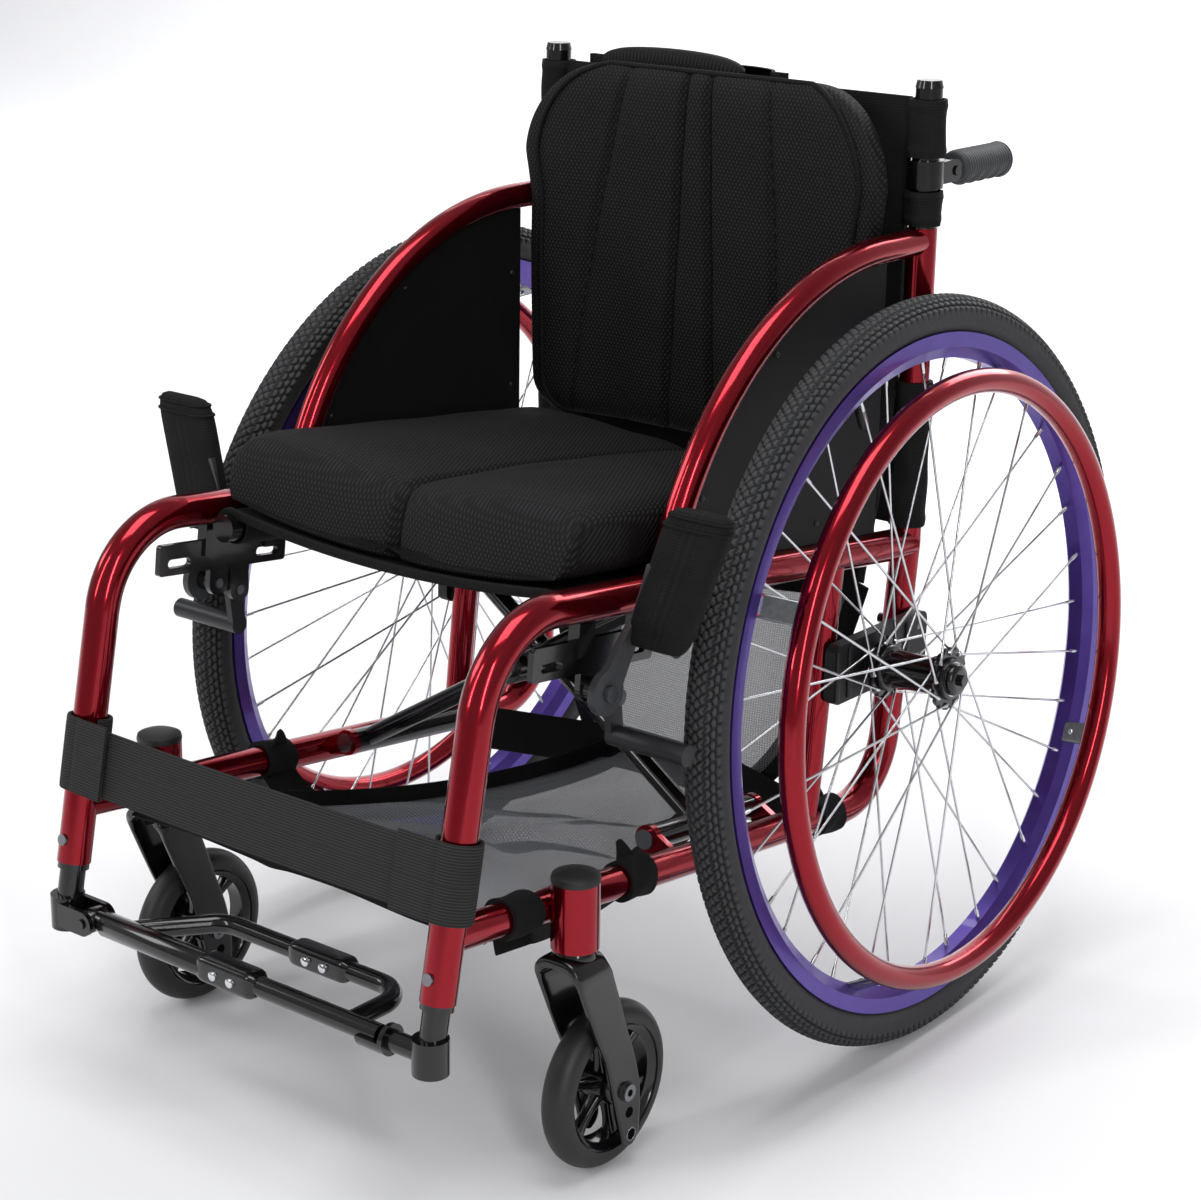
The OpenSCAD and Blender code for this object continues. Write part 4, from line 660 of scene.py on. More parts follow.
HAND_R, HAND_OUT = 240.0, 41.0
brackets, bolts = [], []
for k in range(4):
    a = math.radians(64 + 90 * k)
    radial = np.array([math.cos(a), math.sin(a), 0])
    start = radial * (HAND_R + 2) + [0, 0, HAND_OUT - 4]
    stop = radial * (RIM_IN + 4) + [0, 0, 1.5]
    line = start + (stop - start) * np.linspace(0, 1, 9)[:, None]
    brackets.append(moved(sweep(line, soft_box(18.5, 5.4, 24, 0.3), radial), in_wheel))
    bolt = lathe([(0.4, 2.0), (1.6, 1.9), (2.4, 1.3), (2.8, 0.5), (2.8, -1.0), (1.4, -1.2)], 20)
    face = -unit(np.cross(np.cross(stop - start, radial), stop - start))
    bolts.append(moved(turned(bolt, start + (stop - start) * 0.62 + face * 2.9, face), in_wheel))
pair("rim_brackets", brackets, ZINC, "rear_wheel", "grey_metal")
pair("rim_bracket_screws", bolts, STEEL, "rear_wheel", "steel")

valve = lathe([(1.5, -2), (3.2, -1), (3.2, 8), (4.2, 9), (4.2, 24), (3.4, 26), (1, 26.4)], 20)
valve_at = math.radians(200)
valve_dir = -np.array([math.cos(valve_at), math.sin(valve_at), 0])
valve = turned(valve, -valve_dir * (RIM_IN + 1), valve_dir)
pair("valve_cap", moved(valve, in_wheel), MOULDED, "rear_wheel", "black_plastic")
print("wheel details made")

# %% [markdown]
# ## Axle receivers
# Between the rear tube and the mid tube a black moulded receiver takes the quick release axle. It is ridged
# like a bellows, and a brass nut locks its inner end.

# %% Ridged receivers and nuts
w = np.linspace(-74, -45, 60)
ridge = 14.6 + 1.5 * np.abs(np.sin((w + 74) / 29 * math.pi * 4)) ** 0.7
sleeve = lathe([(13.0, -74.6), *zip(ridge, w), (13.0, -44.4)], 64)
pair("receiver_sleeve", moved(sleeve, in_wheel), MOULDED, "frame", "black_plastic")
nut = slab(ring(11.2, 6), -80.5, -74.8, 1.0)
washer = hoop(ring(1, 10) * [4.5, 0.9] + [9, -74.9], 48)
pair("receiver_nut", [moved(nut, in_wheel), moved(washer, in_wheel)], BRASS, "frame", "steel")
ribs = []
for y in np.linspace(-52, 50, 7):
    if abs(y) > 22:
        line = xyz(213.4, y, np.linspace(HUB_Z - 21, HUB_Z + 21, 9))
        ribs.append(sweep(line, soft_box(5.5, 3.2, 16, 0.7), (1, 0, 0)))
pair("receiver_ribs", ribs, MOULDED, "frame", "black_plastic")
print("receiver ribs", len(ribs))

# %% [markdown]
# ## Casters
# The small wheels are moulded in gloss black: a rim, a hub boss and six slender spokes that narrow halfway.

# %% Caster wheels
HEAD_X, HEAD_Y, CASTER_Y, CASTER_Z = 217.5, -388.0, -352.0, 65.0


def caster_place(v):
    """Caster frame to chair: local z runs along the axle, to the left."""
    return v[:, [2, 1, 0]] * [1, 1, -1] + [HEAD_X, CASTER_Y, CASTER_Z]


rim_sec = [(51, -11.5), (49.2, -11.5), (47, -9), (43.5, -7.5), (43.5, 7.5), (47, 9), (49.2, 11.5), (51, 11.5)]
caster_rim = hoop(rim_sec, 96)
boss = lathe([(4.4, -16.2), (11.5, -16), (12.8, -14.5), (13.6, -7),
              (13.6, 7), (12.8, 14.5), (11.5, 16), (4.4, 16.2)], 48)
web = [caster_rim, boss]
for k in range(6):
    a = math.radians(60 * k + 12)
    r = np.linspace(9, 46.5, 12)
    line = xyz(r * math.cos(a), r * math.sin(a), 0)
    size = 1 - 0.35 * np.sin(np.linspace(0, math.pi, 12))
    section = np.stack([soft_box(11 * q, 13 * q, 20, 0.6) for q in size])
    web.append(sweep(line, section, (0, 0, 1)))
web = [moved(s, caster_place) for s in web]
pair("caster_web", web, GLOSS_BLACK, "caster", "gloss_black", "caster_wheel")
print("caster web parts", len(web))

# %% [markdown]
# Each fork is one bent plate: two arms that trail to the axle, and a crown over the wheel with round
# shoulders. Its path is an upside-down U seen from the front, and the plate's width along the path follows
# the arm's outline. The two holes in each arm below the axle are painted shade: near-black discs on its
# outer face. A smaller disc at the axle paints the shade in the bolt's socket.

# %% Bent plate forks
def fork_shape():
    """A rounded plate along a U: its two edges are looked up by height, and it thickens at the crown."""
    z = np.linspace(18.2, 167, 76)
    turn = np.linspace(0, math.pi / 2, 16)[1:]
    half = np.concatenate([xyz(19.25, z), xyz(5.25 + 14 * np.cos(turn), 167 + 14 * np.sin(turn))])
    path = np.concatenate([half, half[-2::-1] * [-1, 1]])
    heights = [18, 28, 48, 66, 84, 98, 114, 136, 160, 175, 182]
    rear = np.interp(path[:, 1], heights, [52, 53.5, 54.5, 53.5, 49, 44.5, 38, 30.5, 21.5, 15, 14])
    lead = np.interp(path[:, 1], heights, [34, 32.5, 26.5, 21.5, 16.5, 12, 4, -6, -16.5, -22, -22])
    tip = np.sqrt(np.clip(1 - ((27 - path[:, 1]) / 9) ** 2, 0.004, 1))
    tip = np.where(path[:, 1] < 27, tip, 1)
    middle, wide = (rear + lead) / 2, (rear - lead) / 2 * tip
    thick = 2.25 + 2.6 * np.clip((path[:, 1] - 161) / 18, 0, 1)
    normal = unit(np.stack([-np.gradient(path[:, 1]), np.gradient(path[:, 0])], -1))
    a = turns(40)
    across, through = squared(np.cos(a), 0.22), squared(np.sin(a), 0.5)
    x = path[:, :1] + normal[:, :1] * thick[:, None] * through
    zz = path[:, 1:] + normal[:, 1:] * thick[:, None] * through
    y = middle[:, None] + wide[:, None] * across
    return surface(xyz(HEAD_X + x, HEAD_Y + y, zz), False, True, True)


FORK_FACE = 21.5


def on_fork(shape, y, z, out=FORK_FACE):
    """One copy of a small turned shape on each outer face of the fork."""
    return [turned(shape, (HEAD_X + hand * out, y, z), (hand, 0, 0)) for hand in (1, -1)]


collar = lathe([(15.5, 177), (16.5, 180), (16.5, 185.5), (15.2, 188.2), (9, 188.4)], 40)
washer = lathe([(4.2, 0.9), (7.6, 0.9), (8.0, 0.5), (8.0, -0.4), (4.2, -0.4)], 28)
pair("fork_washers", on_fork(washer, CASTER_Y, CASTER_Z), MOULDED, "fork", "black_plastic")
collar = moved(collar, lambda v: v + [HEAD_X, HEAD_Y, 0])
pair("fork_plate", [fork_shape(), collar], GLOSS_BLACK, "fork", "gloss_black", "caster_fork", crease=50)
# Near-black discs on the fork's faces: painted shade of its holes and of the axle bolt's socket.
hole = lathe([(0.5, 0.25), (4.2, 0.25), (4.6, -0.4), (0.5, -0.5)], 20)
socket = lathe([(0.5, 0.2), (2.7, 0.2), (3.0, -0.3), (0.5, -0.4)], 20)
holes = on_fork(hole, HEAD_Y + 43, 27) + on_fork(hole, HEAD_Y + 40.5, 46)
holes += on_fork(socket, CASTER_Y, CASTER_Z, FORK_FACE + 4)
pair("fork_holes", holes, BORE_SHADE, "fork", "black_plastic")
lip = hoop(ring(1, 8) * [0.6, 0.5] + [5.0, 0], 32)
pair("fork_hole_lips", on_fork(lip, HEAD_Y + 43, 27, FORK_FACE + 0.1), ZINC, "fork", "steel")
print("fork holes and sockets", len(holes))

# %% [markdown]
# A moulded dust cap closes the top of each head tube. It is a low dome, so one turned profile gives it.

# %% Head caps
dust = lathe([(18.2, 240.2), (18.4, 242), (17.6, 245.0), (14, 246.6), (6, 247.4), (1, 247.5)], 48)
caps = pair("head_cap", moved(dust, lambda v: v + [HEAD_X, HEAD_Y, 0]), MOULDED, "frame", "black_plastic")
print("head caps", len(caps))

# %% [markdown]
# ## Push handle grips
# Each grip is a rubber sleeve with finger waves along its underside and fine rings round it, open-ended
# with a paler, scuffed end face. It folds down about its knuckle.

# %% Ridged grips
HANDLE_Z, PIVOT_Y, REACH = 691.0, 109.1, 192.0


def grip_shape():
    """Radius = 13.7 mm plus fine rings all round, and deep waves only where the angle points down."""
    y = np.linspace(PIVOT_Y + 11, REACH - 1.2, 120)
    yy, aa = np.meshgrid(y, turns(48), indexing="ij")
    down = np.clip(-np.sin(aa), 0, 1) ** 1.5
    rings = 0.5 * np.abs(np.sin((yy - PIVOT_Y) * math.pi / 3.6))
    waves = down * 1.6 * (np.sin((yy - PIVOT_Y - 16) * 2 * math.pi / 15) - 0.5)
    r = 13.7 + rings + waves
    r = r * (1 - 0.18 * np.exp(-(yy - y[0]) / 2.0)) + 0.5 * np.exp(-((yy - y[-1]) / 3.5) ** 2)
    return surface(xyz(FRAME_X + r * np.cos(aa), yy, HANDLE_Z + r * np.sin(aa)), False, True, True)


pair("rubber_grip", grip_shape(), GRIP, "handle", "grip_rubber", "push_grip", crease=50)
end_face = lathe([(14.0, -2.2), (13.8, 0.2), (12.0, 1.0), (9.5, 0.4), (1.0, 0.2)], 40)
end_face = turned(end_face, (FRAME_X, REACH - 0.8, HANDLE_Z), (0, 1, 0))
pair("grip_end", end_face, GRIP_END, "handle", "grip_rubber")
nose = np.linspace(math.pi / 2, 3 * math.pi / 2, 17)
outline = np.concatenate([8 * xyz(np.cos(nose), np.sin(nose)), [[14, -7.2], [14, 7.2]]])
knuckle = moved(slab(outline, -6, 6, 0.8), lambda v: v[:, [2, 0, 1]] + [FRAME_X, PIVOT_Y, HANDLE_Z])
pair("grip_knuckle", knuckle, GLOSS_BLACK, "handle", "black_metal")
print("grips reach", REACH, "mm behind the axle")

# %% [markdown]
# ## Seat sling
# A sheet of cloth is wrapped round both seat tubes and sags between them under the cushion. The path across
# the sheet is worked out once, then carried along the rails. It has a folded hem at the front, and a sewn
# tunnel that stays with each tube as the chair folds.

# %% Sling under the cushion
TUBE_X, TUBE_N, WRAP_R, SAG = 160.0, RAIL_GAP - 10, 12.7, 11.0


def sling_path():
    """Across the sheet: an arc round one tube, a parabola that sags 11 mm, an arc round the other."""
    wrap = np.radians(np.linspace(-70, 90, 22))
    left = xyz(TUBE_X + WRAP_R * np.cos(wrap), TUBE_N + WRAP_R * np.sin(wrap))
    x = np.linspace(TUBE_X - 4, 4 - TUBE_X, 61)
    sag = xyz(x, TUBE_N + WRAP_R - SAG * (1 - (x / TUBE_X) ** 2))
    return np.concatenate([left, sag, left[::-1] * [-1, 1]])


def sling_shape():
    """The path carried along the rails from back to front, and its width in metres."""
    q = sling_path()
    s = np.linspace(-1, 383, 70)
    points = np.stack([on_rails(q[:, 0], q[:, 1], t) for t in s])
    width = run_length(q)
    uv = np.stack(np.meshgrid(s, width, indexing="ij"), -1) * MM
    return surface(points, uv=uv), width[-1] * MM


shape, sling_width = sling_shape()
sling = piece("sling_cloth", shape, CLOTH, "seat", "black_cloth", "seat_sling")
skin = sling.modifiers.new("thickness", "SOLIDIFY")
skin.thickness, skin.offset = 0.0024, 0
crumple(sling)
q = sling_path()[8:-8]
hem = on_rails(q[:, 0], q[:, 1] - 0.6, 383.0)
trim("sling_hem", sweep(hem, soft_box(8, 4.2, 16, 0.6), (0, 1, 0)), "seat", "seat_tubes")


def tunnel_shape():
    """The sewn tunnel round a seat tube: radius 14 mm with slight puckers, open at both ends."""
    ss, aa = np.meshgrid(np.linspace(3, 379, 60), turns(40), indexing="ij")
    r = 13.9 + 0.15 * np.sin(3 * aa + 0.09 * ss)
    outer = on_rails(TUBE_X + r * np.cos(aa), TUBE_N + r * np.sin(aa), ss)
    inner = on_rails(TUBE_X + 12.6 * np.cos(aa), TUBE_N + 12.6 * np.sin(aa), ss)
    return surface(np.concatenate([outer, inner[::-1]]), True, True, uv=flat_uv(88, 760, 121, 41))


tunnel = tunnel_shape()
piece("left_seat_tunnel", tunnel, CLOTH, "brace_arm_b", "black_cloth")
piece("right_seat_tunnel", mirrored(tunnel), CLOTH, "brace_arm_a", "black_cloth")
print("sling cut", round(sling_width, 3), "m wide")

# %% [markdown]
# ## Seat cushion
# The cushion is foam in a mesh cover: two lobes either side of a seam, crowned in the middle, with sides that
# pull in and a boxed front. The closed form is a rounded section carried from back to front, and the
# seam, the swell of each lobe and the front panel are added to it as smooth terms.

# %% Cushion with lobes and seams
CUSHION_HALF, CUSHION_T, CUSHION_FRONT, CUSHION_BACK = 174.0, 64.0, 379.0, -2.0
SEAT_STEPS = np.sin(np.linspace(-1, 1, 176) * math.pi / 2)


def bell(x, at, width):
    """A smooth hump of height 1 at a place."""
    return np.exp(-((x - at) / width) ** 2)


def seat_rest(x):
    """Height of the sling's upper face across the seat."""
    return TUBE_N + WRAP_R + 1.6 - SAG * np.clip(1 - (x / TUBE_X) ** 2, 0, 1)


def seam_x(u):
    """The middle seam wanders a little to the sitter's left at the back."""
    return 4 + 10 * np.clip(-u, 0, 1) ** 2


def cushion_points():
    """Rounded section times an end profile, plus crown, lobes, seam and folds."""
    px, pn = even_box(CUSHION_HALF, CUSHION_T / 2, 0.36, 0.46, 320)
    uu, qx, qn = np.broadcast_arrays(SEAT_STEPS[:, None], px, pn)
    end = np.clip(1 - np.abs(uu) ** 20, 0.0005, 1) ** 0.42
    x = CUSHION_HALF * qx * (0.93 + 0.07 * end - 0.012 * np.cos(uu * math.pi))
    top = np.clip(qn, 0, 1)
    dx = x - seam_x(uu)
    lobe = 5.0 * bell(np.abs(x), 92, 62) * np.clip(1.1 - uu ** 4, 0, 1)
    crown = 4 * (1 - uu ** 2) * (1 - qx ** 2)
    front = np.clip((uu - 0.5) / 0.5, 0, 1)
    step = 4.0 * np.clip(dx / 9, 0, 1) * bell(dx, 0, 60) * front
    seam = 7.0 * bell(dx, 0, 3.6) + 5.0 * bell(dx, 0, 20)
    fold = 4.0 * bell(uu + 0.30 + 0.0030 * dx, 0, 0.07) * np.clip(dx / 50, 0, 1)
    wrinkle = 0.9 * np.sin(0.055 * x + 5.2 * uu) * np.sin(6.1 * uu - 0.021 * x) * end
    roll = 0.78 * (1 - end) * (uu > 0)
    relief = crown + lobe - step - seam - fold + wrinkle
    n = seat_rest(x) + CUSHION_T / 2 * (1 + qn * end - roll) + top * end * relief
    ahead = np.clip((uu - 0.9) / 0.1, 0, 1)
    tuck = 9 * bell(dx, 0, 5) * ahead + 4 * bell(dx, 0, 22) * ahead
    bolster = 4.0 * bell(x, 90, 60) + 4.0 * bell(x, -80, 60)
    bulge = bolster * ahead * np.clip(1 - qn ** 2, 0.2, 1)
    s = CUSHION_BACK + (CUSHION_FRONT - CUSHION_BACK) * (uu + 1) / 2 - tuck + bulge
    return x, n, s


def closed_uv(u, v):
    """Coordinates in metres for a section that wraps round, its first column repeated at the end."""
    return np.pad(xyz(u, v), ((0, 0), (0, 1), (0, 0)), mode="wrap") * MM


seat_x, seat_n, seat_s = cushion_points()
shape = surface(on_rails(seat_x, seat_n, seat_s), False, True, True, closed_uv(seat_x, seat_s + seat_n))
cushion = piece("seat_pad", shape, MESH, "seat", "black_mesh", "seat_cushion",
                crease=70, between="seat_tubes")
print("seat cushion faces", len(cushion.data.polygons))

# %% [markdown]
# The sewn seam between the lobes shows as a fine raised edge, so a thin binding follows the cushion's skin
# along it.

# %% Seams of the seat cushion
def nearest_on_skin(want, lift):
    """Upper skin of the cushion at x = want(row), taken from the nearest section point at each row."""
    upper = slice(2, 159)
    rows = np.arange(len(seat_x))
    near = np.abs(seat_x[:, upper] - want[:, None]).argmin(1)
    n, s = seat_n[:, upper][rows, near], seat_s[:, upper][rows, near]
    return on_rails(want, n + lift, s + lift * 0.6)


middle = nearest_on_skin(seam_x(SEAT_STEPS), 0.3)[10:]
trim("seat_seam", sweep(middle, ring(1.2, 8), (1, 0, 0)), "seat", "seat_tubes")
print("seat seam points", len(middle))

# %% [markdown]
# ## Back cushion
# A tall pad stands in front of the sling. Its upper corners are round, a flat band runs down its middle
# between two seams, and a bowed row of stitches runs down each half. Piping runs up both sides and over
# the top.

# %% Back cushion
BACK_LOW, BACK_HIGH, BACK_T, BACK_HALF, BACK_R = 450.0, 757.0, 42.0, 176.0, 84.0
BACK_MID = POST_Y - 6.4 - BACK_T / 2
BACK_STEPS = -np.cos(np.linspace(0, math.pi, 150))


def back_seam(u, line):
    """Where the pad's sewn lines run, from the sitter's right: stitches, two middle seams, stitches."""
    band_x, band_half = -8, 18 - 6.5 * u
    outer_right = -111 + 27 * u + 5 * u ** 2
    outer_left = 74 - 10 * u + 4 * (1 - u ** 2)
    return [outer_right, band_x - band_half, band_x + band_half, outer_left][line]


def back_points(grow=0.0):
    """Sections from low to high: a width with round corners, and a bowed face with seams pressed into it."""
    px, py = even_box(BACK_HALF, BACK_T / 2, 0.42, 0.5, 400)
    uu, qx, qy = np.broadcast_arrays(BACK_STEPS[:, None], px, py)
    z = BACK_LOW + (BACK_HIGH - BACK_LOW) * (uu + 1) / 2
    end = np.clip(1 - np.abs(uu) ** 12, 0, 1) ** 0.4
    high = np.clip(z - (BACK_HIGH - BACK_R), 0, BACK_R)
    foot_r = 30
    low = np.clip(BACK_LOW + foot_r - z, 0, foot_r)
    corner = 0.92 * (BACK_R - np.sqrt(BACK_R ** 2 - high ** 2)) + foot_r - np.sqrt(foot_r ** 2 - low ** 2)
    full = 6 * np.clip((z - 640) / 40, 0, 1)
    x = (BACK_HALF + full - corner - 4 * np.clip(-uu, 0, 1) ** 2 + grow) * qx
    face = np.clip(-qy, 0, 1)
    mag = np.abs(x)
    pressed = ((0, 4.0, 4), (1, 6.5, 3.4), (2, 6.5, 3.4), (3, 4.0, 4))
    seams = sum(deep * bell(x, back_seam(uu, k), wide) for k, deep, wide in pressed)
    swell = 4.0 * bell(mag, 56, 26) + 3.0 * bell(mag, 135, 26) + 1.5 * bell(x, -8, 10)
    wings = 20.0 * np.clip((mag - 70) / 108, 0, 1.2) ** 1.7
    wrinkle = 0.7 * np.sin(0.05 * x + 4 * uu) * np.sin(5 * uu)
    body = (BACK_T / 2 + grow) * qy * (0.12 + 0.88 * end)
    y = BACK_MID + body + face * end * (seams - swell - wrinkle + 4.0) - wings
    return xyz(x, y, z)


back_skin = back_points()
uv = closed_uv(back_skin[..., 0] + 0.4 * back_skin[..., 1], back_skin[..., 2])
shape = surface(back_skin, False, True, True, uv)
back_pad = piece("back_pad", shape, MESH, "left_frame", "black_mesh", "back_cushion",
                 crease=70, between="frames")


def back_face_line(line, margin, lift):
    """The pad's front skin along one sewn line, less a margin of rows at both ends."""
    want = back_seam(BACK_STEPS, line)
    front = back_skin[:, 204:396]
    near = np.abs(front[..., 0] - want[:, None]).argmin(1)
    skin = front[np.arange(len(front)), near]
    return xyz(want, skin[:, 1] - lift, skin[:, 2])[margin:1 - margin]


# The two middle seams are thin cords of the blacker tape: partly the sewn seam, partly painted shade in the
# pressed seam.
seams = [sweep(back_face_line(k, 12, 0.2), ring(1.0, 8), (1, 0, 0)) for k in (1, 2)]
trim("back_seams", seams)
dashes = []
for k in (0, 3):
    full = back_face_line(k, 14, 0.4)
    starts = range(0, len(full) - 3, 4)
    dashes += [sweep(full[j:j + 3], soft_box(1.5, 1.0, 8, 0.7), (0, -1, 0)) for j in starts]
trim("back_stitches", dashes)
skin = back_points(0.5)[7:-3]
edge = np.concatenate([skin[:, 386], skin[::-1, 214]])
trim("back_piping", sweep(edge, ring(2.4, 10), (0, 1, 0)))
print("back cushion made")

# %% [markdown]
# ## Back sling
# Behind the cushion a padded cloth spans the posts. Its rear is quilted in channels that fan inwards and
# down, with a slanting seam from the upper corner, and loops of the same cloth sleeve the posts.

# %% Quilted sling and its sleeves
SLING_LOW, SLING_HIGH, SLING_HALF = 400.0, 751.0, 176.0


def quilt_edge(z):
    """Half width of the padded part: 176 mm, drawn in by 32 mm towards the bottom along a smooth step."""
    q = np.clip((590 - z) / 100, 0, 1)
    return SLING_HALF - 32 * q * q * (3 - 2 * q)


def two_faced(rear, front, span):
    """A closed slab between two grids of points; span is where the front's cloth starts in the pattern."""
    loop = np.concatenate([rear, front[:, ::-1]], 1)
    pattern_x = np.concatenate([rear[..., 0], span - front[:, ::-1, 0]], 1)
    return surface(loop, False, True, True, closed_uv(pattern_x, loop[..., 2]))


def sling_back():
    """A closed slab: flat in front, its rear pushed in along channels that fan from the top middle."""
    z = np.linspace(SLING_LOW, SLING_HIGH, 110)
    x = np.linspace(-SLING_HALF, SLING_HALF, 150)
    zz, xx = np.meshgrid(z, x, indexing="ij")
    rise = (zz - SLING_LOW) / (SLING_HIGH - SLING_LOW)
    fan = xx / (0.62 + 0.38 * rise)
    channel = np.clip(np.abs(np.sin(fan * math.pi / 46)), 0, 1) ** 0.5
    slant = bell(np.abs(xx) - SLING_HALF + 1.0125 * (SLING_HIGH - zz), 0, 4.5) * (np.abs(xx) > 60)
    edge = np.clip((quilt_edge(zz) - np.abs(xx)) / 10, 0, 1)
    edge = edge * np.clip((zz - SLING_LOW) / 8, 0, 1) * np.clip((SLING_HIGH - zz) / 8, 0, 1)
    puff = (8.4 * channel - 3.4 * slant + 0.7 * np.sin(0.04 * zz + 0.03 * xx)) * np.sqrt(edge)
    rear = xyz(xx, POST_Y - 1.5 + puff, zz)
    front = xyz(xx, POST_Y - 5.8, zz)
    return two_faced(rear, front, 2 * SLING_HALF)


quilt = piece("quilted_back", sling_back(), CLOTH, "left_frame", "black_mesh", "back_sling", between="frames")
z = np.linspace(SLING_LOW + 3, SLING_HIGH - 3, 70)
side_line = xyz(quilt_edge(z) - 3, POST_Y + 0.6, z)
side_tape = sweep(side_line, ring(2.4, 10), (0, 1, 0))
trim("quilt_piping", [side_tape, mirrored(side_tape)])


def sleeve_shape(low, high):
    """A cloth tube of 15 mm radius round a post, with slight puckers and turned hems."""
    zz, aa = np.meshgrid(np.linspace(low, high, 40), turns(48), indexing="ij")
    hem = 0.7 * (bell(zz, low + 5, 3) + bell(zz, high - 5, 3))
    r = 15 + hem + 0.35 * np.sin(5 * aa + 0.07 * zz) + 0.3 * np.sin(0.16 * zz + 2 * aa)
    outer = xyz(FRAME_X + r * np.cos(aa), POST_Y + r * np.sin(aa), zz)
    inner = xyz(FRAME_X + 12.9 * np.cos(aa), POST_Y + 12.9 * np.sin(aa), zz)
    uv = flat_uv(95, 2 * (high - low), 81, 49)
    return surface(np.concatenate([outer, inner[::-1]]), True, True, uv=uv)


spans = [(400, 522), (650, 677.5), (704.5, 750)]
pair("post_sleeves", [sleeve_shape(*k) for k in spans], CLOTH, "frame", "black_cloth")
print("sleeves on each post", len(spans))

# %% [markdown]
# ## Pouch
# A mesh pouch is sewn to the back, nearer the sitter's right. It bulges, and a rounded flap with a piped edge
# folds over its mouth.

# %% Pouch and flap
POUCH_X, POUCH_W, POUCH_LOW, POUCH_HIGH = -58.0, 175.0, 545.0, 748.0


def pouch_skin(x, z, lift=0.0):
    """Depth behind the sling: a bulge that rounds off at the sides and bottom, pinched along two folds."""
    qx = np.clip((x - POUCH_X) / (POUCH_W / 2), -1, 1)
    qz = np.clip((z - POUCH_LOW) / 60, 0, 1)
    body = 23 * np.clip(1 - np.abs(qx) ** 4, 0, 1) ** 0.5 * (1 - (1 - qz) ** 2.2) ** 0.6
    folds = 3.0 * bell(x, POUCH_X - 22 + 0.10 * (z - 640), 7) + 2.2 * bell(x, POUCH_X + 36, 8)
    return POST_Y + 4.5 + body - folds * np.clip(body / 12, 0, 1) + lift


def rounded_sheet(low, high, half, radius):
    """The x and z of a panel with rounded lower corners, row by row from low to high."""
    z = np.linspace(low, high, 60)
    cut = np.clip(low + radius - z, 0, radius)
    span = half - (radius - np.sqrt(np.maximum(radius ** 2 - cut ** 2, 0)))
    return np.broadcast_arrays(POUCH_X + span[:, None] * np.linspace(-1, 1, 70), z[:, None])


def panel(x, z, front_y, rear_y):
    """A thin closed panel between two depths."""
    return two_faced(xyz(x, rear_y, z), xyz(x, front_y, z), 2 * POUCH_X + 300)


def rim_of(x, y, z):
    """One side of a panel downwards, its lower edge and its other side upwards, as one line."""
    points = xyz(x, y, z)
    return np.concatenate([points[::-1, 0], points[0, 1:-1], points[:, -1]])


x, z = rounded_sheet(POUCH_LOW, POUCH_HIGH - 6, POUCH_W / 2, 58)
bag = panel(x, z, POST_Y + 4, pouch_skin(x, z))
pouch = piece("back_pouch", bag, MESH, "left_frame", "black_mesh", between="frames")
trim("pouch_binding", sweep(rim_of(x, POST_Y + 6.5, z), ring(2.2, 10), (0, 1, 0)))
x, z = rounded_sheet(667.0, 757.0, 101, 62)
flap = panel(x, z, pouch_skin(x, z, 3.0), pouch_skin(x, z, 8.0))
flap_piece = piece("pouch_flap", flap, MESH, "left_frame", "black_mesh", between="frames")
trim("flap_piping", sweep(rim_of(x, pouch_skin(x, z, 6.0), z), ring(3.6, 12), (0, 1, 0)))
t = np.linspace(-1, 1, 60)
roll_line = xyz(POUCH_X - 14 + 76 * t, POST_Y + 9, 752 + 5 * (1 - t ** 2))
fat = np.clip(1 - t ** 6, 0.02, 1) ** 0.5
roll = sweep(roll_line, np.stack([soft_box(20 * q, 22 * q, 28, 0.8) for q in fat]), (0, 0, 1))
piece("flap_fold", roll, MESH, "left_frame", "black_mesh", between="frames")
print("pouch made")

# %% [markdown]
# ## Calf strap
# Ribbed webbing runs across the fronts of both legs. At each end it wraps the leg and is held by a cuff, and
# each cuff stays with its own leg.

# %% Strap and cuffs
STRAP_Z = 265.0


def leg_place(points):
    """Leg frame to chair: local z runs up the raked leg from the strap's middle."""
    x, y, z = np.moveaxis(np.asarray(points, float), -1, 0)
    c, s = math.cos(LEG_RAKE), math.sin(LEG_RAKE)
    return xyz(x, leg_y(STRAP_Z) + y * c + z * s, STRAP_Z - y * s + z * c)


x = np.linspace(-FRAME_X + 6, FRAME_X - 6, 80)
sag = 3.0 * (1 - (x / FRAME_X) ** 2)
band_path = xyz(x, -15.2 + sag * 1.6, -sag)
band = sweep(band_path, soft_box(2.4, 52, 36, 0.25), (0, 0, 1))
band = moved(band, leg_place)
strap = piece("calf_band", band, WEBBING, "left_frame", "webbing", "calf_strap", between="frames")


def cuff_shape():
    """A band of 58 mm round the leg with a flat tail over the strap, its edges slightly proud."""
    start = xyz(np.linspace(150, FRAME_X - 5, 14), np.linspace(-18.2, -17.0, 14), 0)
    around = np.radians(np.linspace(-105, 200, 56))
    turn = xyz(FRAME_X + 16.2 * np.cos(around), 16.2 * np.sin(around), 0)
    return sweep(np.concatenate([start[:-1], turn]), soft_box(3.2, 58, 32, 0.25), (0, 0, 1))


pair("strap_cuff", moved(cuff_shape(), leg_place), WEBBING, "frame", "webbing")
print("strap at", STRAP_Z, "mm")

# %% [markdown]
# ## Basket
# An open net hangs like a hammock under the lower rails and turns up behind as a wall that is tied to the
# back sling. Its sides draw in from the front towards the back, where a band holds them to the rails, and its
# edges are bound in black tape. The net is one sheet: floor, bend and wall.

